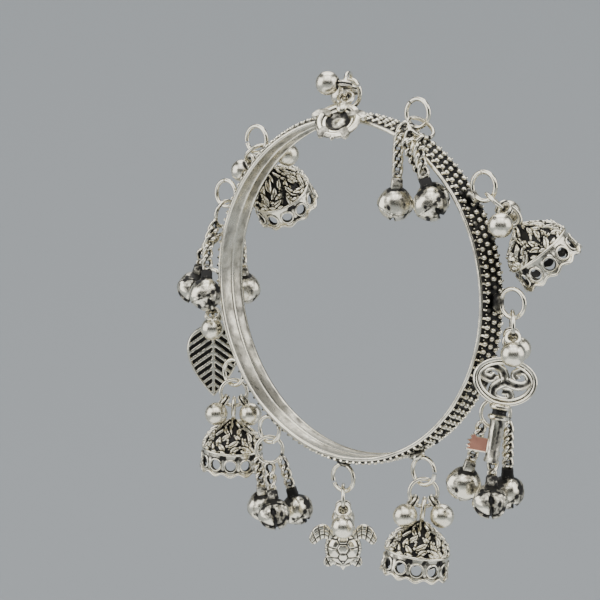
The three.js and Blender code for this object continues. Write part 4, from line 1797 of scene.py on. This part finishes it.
@dataclass
class Tassels:
    """All the tassels: a jump ring, three chains and their jingles each.

    A chain starts a little past the ring's wire and ends above the jingle's middle, and its links turn from
    the front by its roll, in degrees.
    """

    chain_start: float = 0.42
    chain_end: float = 5.15
    rolls: Triple = (0.0, 24.0, -18.0)

    def __post_init__(self) -> None:
        """Makes the meshes that like tassels share."""
        dark = AntiqueSilver("chain_silver", polish=0.2, stain=0.3, stain_size=0.8).material()
        blackened = AntiqueSilver("jingle_silver", polish=0.2, stain=0.46, stain_size=1.2).material()
        self.ring = JumpRing(dark).mesh()
        self.jingles = [Jingle(blackened).mesh(seed) for seed in range(3)]
        self.chain = CurbChain(dark)

    def hang(self, tassel: TasselPlace) -> None:
        """Sets one tassel.

        Args:
            tassel: The tassel's place.
        """
        name = tassel.name
        set_piece(f"{name}_jump_ring", self.ring, tassel.place(), (f"{name}_ring",), Slot.SILVER)
        loop = tassel.loop()
        for i, chain in enumerate(tassel.chains, 1):
            wire = tassel.wire(chain.seat)[0]
            jingle = loop + np.array(chain.jingle)
            bends = [] if chain.bend is None else [loop + np.array(chain.bend)]
            knots = [wire, *bends, jingle]
            axis = unit(jingle - knots[-2])
            start = wire + self.chain_start * unit(knots[1] - wire)
            end = jingle - self.chain_end * axis
            links = self.chain.mesh(f"{name}_links_{i}", [start, *bends, end], self.rolls[i - 1])
            set_piece(f"{name}_links_{i}", links, CENTRE, (f"{name}_chain_{i}",), Slot.DARK_SILVER)
            at = place(jingle, axis, FACING)
            bell = self.jingles[i - 1]
            set_piece(f"{name}_jingle_bell_{i}", bell, at, (f"{name}_jingle_{i}",), Slot.SILVER)

    def build(self) -> None:
        """Sets every tassel."""
        for tassel in TASSELS:
            self.hang(tassel)


@dataclass(frozen=True)
class Softbox:
    """A square studio light.

    Its turn is to the right of the camera and its height above the band, in degrees. Its distance and size
    are in metres, and its glow is how bright it looks.
    """

    name: str
    turn: float
    height: float
    distance: float
    size: float
    glow: float


@dataclass
class Studio:
    """The pale sheet under and behind the bangle, the lights and the camera.

    The sheet's sizes, and its drop below the band's middle, are in metres.
    """

    floor_drop: float = 0.15
    sheet_front: float = 1.8
    sheet_back: float = 0.3
    sheet_bend: float = 0.6
    sheet_top: float = 0.7
    sheet_half_width: float = 4.0
    sheet_colour: Colour = (0.31, 0.33, 0.345)
    room_colour: Colour = (0.36, 0.38, 0.40)
    room_glow: float = 0.16
    distance: float = 400.0
    lens: float = 133.6
    aim_left: float = 9.72
    aim_below: float = 2.03

    LIGHTS = (
        Softbox("back_high", 180.0, 62.0, 1.6, 1.5, 2.2),
        Softbox("top", 0.0, 85.0, 1.2, 1.0, 1.4),
        Softbox("front_high", 0.0, 50.0, 1.7, 1.4, 1.6),
        Softbox("front_left", -48.0, 46.0, 1.7, 1.2, 1.15),
        Softbox("front_right", 46.0, 46.0, 1.7, 1.2, 1.15),
        Softbox("left_side", -80.0, 14.0, 0.8, 0.8, 2.2),
        Softbox("right_side", 78.0, 20.0, 0.8, 0.8, 1.9),
        Softbox("under", 0.0, -80.0, 0.14, 0.3, 0.9),
    )
    # The camera's axes in the part's frame.
    RIGHT = np.array(BESIDE)
    TOP = np.array((-0.084, 0.100, 0.991))
    BACK = np.array((0.637, -0.759, 0.131))

    def sheet(self) -> None:
        """Lays the sheet: flat under the bangle, and curved up behind it."""
        turn = np.radians(np.linspace(0.0, 90.0, 25))
        bend = self.sheet_bend
        rise = np.column_stack((self.sheet_back + bend * np.sin(turn), bend - bend * np.cos(turn)))
        # Rows (distance to the back, height) from the sheet's front edge to its top.
        rows = np.vstack(((-self.sheet_front, 0.0), rise, (self.sheet_back + bend, self.sheet_top)))
        base = np.array((0.0, 0.0, -RING_DROP * MM - self.floor_drop))
        middle = base - rows[:, :1] * np.array(FACING) + rows[:, 1:] * np.array(UP)
        aside = self.sheet_half_width * self.RIGHT
        points = np.stack((middle - aside, middle + aside), axis=1)
        faces = [(2 * i, 2 * i + 1, 2 * i + 3, 2 * i + 2) for i in range(len(rows) - 1)]
        mesh = bpy.data.meshes.new("sheet")
        mesh.from_pydata(points.reshape(-1, 3).tolist(), [], faces)
        mesh.polygons.foreach_set("use_smooth", np.ones(len(faces), bool))
        mesh.materials.append(self.paper())
        sheet = bpy.data.objects.new("sheet", mesh)
        bpy.context.scene.collection.objects.link(sheet)

    def paper(self) -> bpy.types.Material:
        """Makes the sheet's dull, faintly mottled paper.

        Returns:
            The material.
        """
        nodes = Shading("pale_paper")
        mottle = nodes.noise(nodes.where, 4.0, 4.0)
        dark, light = ((*(share * c for c in self.sheet_colour), 1.0) for share in (0.97, 1.03))
        colour = nodes.mix("RGBA", mottle, dark, light)
        return nodes.dress({"Base Color": colour, "Roughness": 0.9, "Specular IOR Level": 0.1})

    def lights(self) -> None:
        """Sets the softboxes and the room's dim light."""
        for box in self.LIGHTS:
            turn, height = math.radians(box.turn), math.radians(box.height)
            level = math.cos(turn) * np.array(FACING) + math.sin(turn) * self.RIGHT
            way = Vector(math.cos(height) * level + math.sin(height) * np.array(UP))
            light = bpy.data.lights.new(box.name, "AREA")
            light.shape = "SQUARE"
            light.size = box.size
            light.energy = box.glow * math.pi * box.size**2
            lamp = bpy.data.objects.new(box.name, light)
            bpy.context.scene.collection.objects.link(lamp)
            lamp.location = CENTRE.translation + box.distance * way
            lamp.rotation_euler = way.to_track_quat("Z", "Y").to_euler()
        world = bpy.data.worlds.new("studio")
        world.use_nodes = True
        room = world.node_tree.nodes["Background"]
        room.inputs["Color"].default_value = (*self.room_colour, 1.0)
        room.inputs["Strength"].default_value = self.room_glow
        bpy.context.scene.world = world

    def camera(self) -> None:
        """Sets the camera."""
        data = bpy.data.cameras.new("camera")
        data.lens = self.lens
        data.sensor_width = 36.0
        data.clip_start = 0.01
        camera = bpy.data.objects.new("camera", data)
        bpy.context.scene.collection.objects.link(camera)
        centre = np.array((0.0, 0.0, -RING_DROP))
        stand = Vector((centre + self.distance * self.BACK) * MM)
        aim = Vector((centre - self.aim_left * self.RIGHT - self.aim_below * self.TOP) * MM)
        camera.location = stand
        camera.rotation_euler = (stand - aim).to_track_quat("Z", "Y").to_euler()
        bpy.context.scene.camera = camera

    def build(self) -> None:
        """Sets up the whole studio."""
        self.sheet()
        self.lights()
        self.camera()


def main() -> None:
    """Builds the studio and every piece of the bangle, and logs each piece's face count."""
    logging.basicConfig(level=logging.INFO, format="%(name)s %(message)s")
    Studio().build()
    angles = tuple(stop.angle for stop in (*CHARMS, *TASSELS))
    grained = AntiqueSilver("band_silver", polish=0.15, stain=0.16)
    lined = AntiqueSilver("band_lining", polish=0.2, stain=0.2, stain_size=2.5, brushing=(0.3, 3.0, 0.3))
    Band(grained, lined, loop_angles=angles).build()
    Charms().build()
    Tassels().build()


if __name__ == "__main__":
    main()
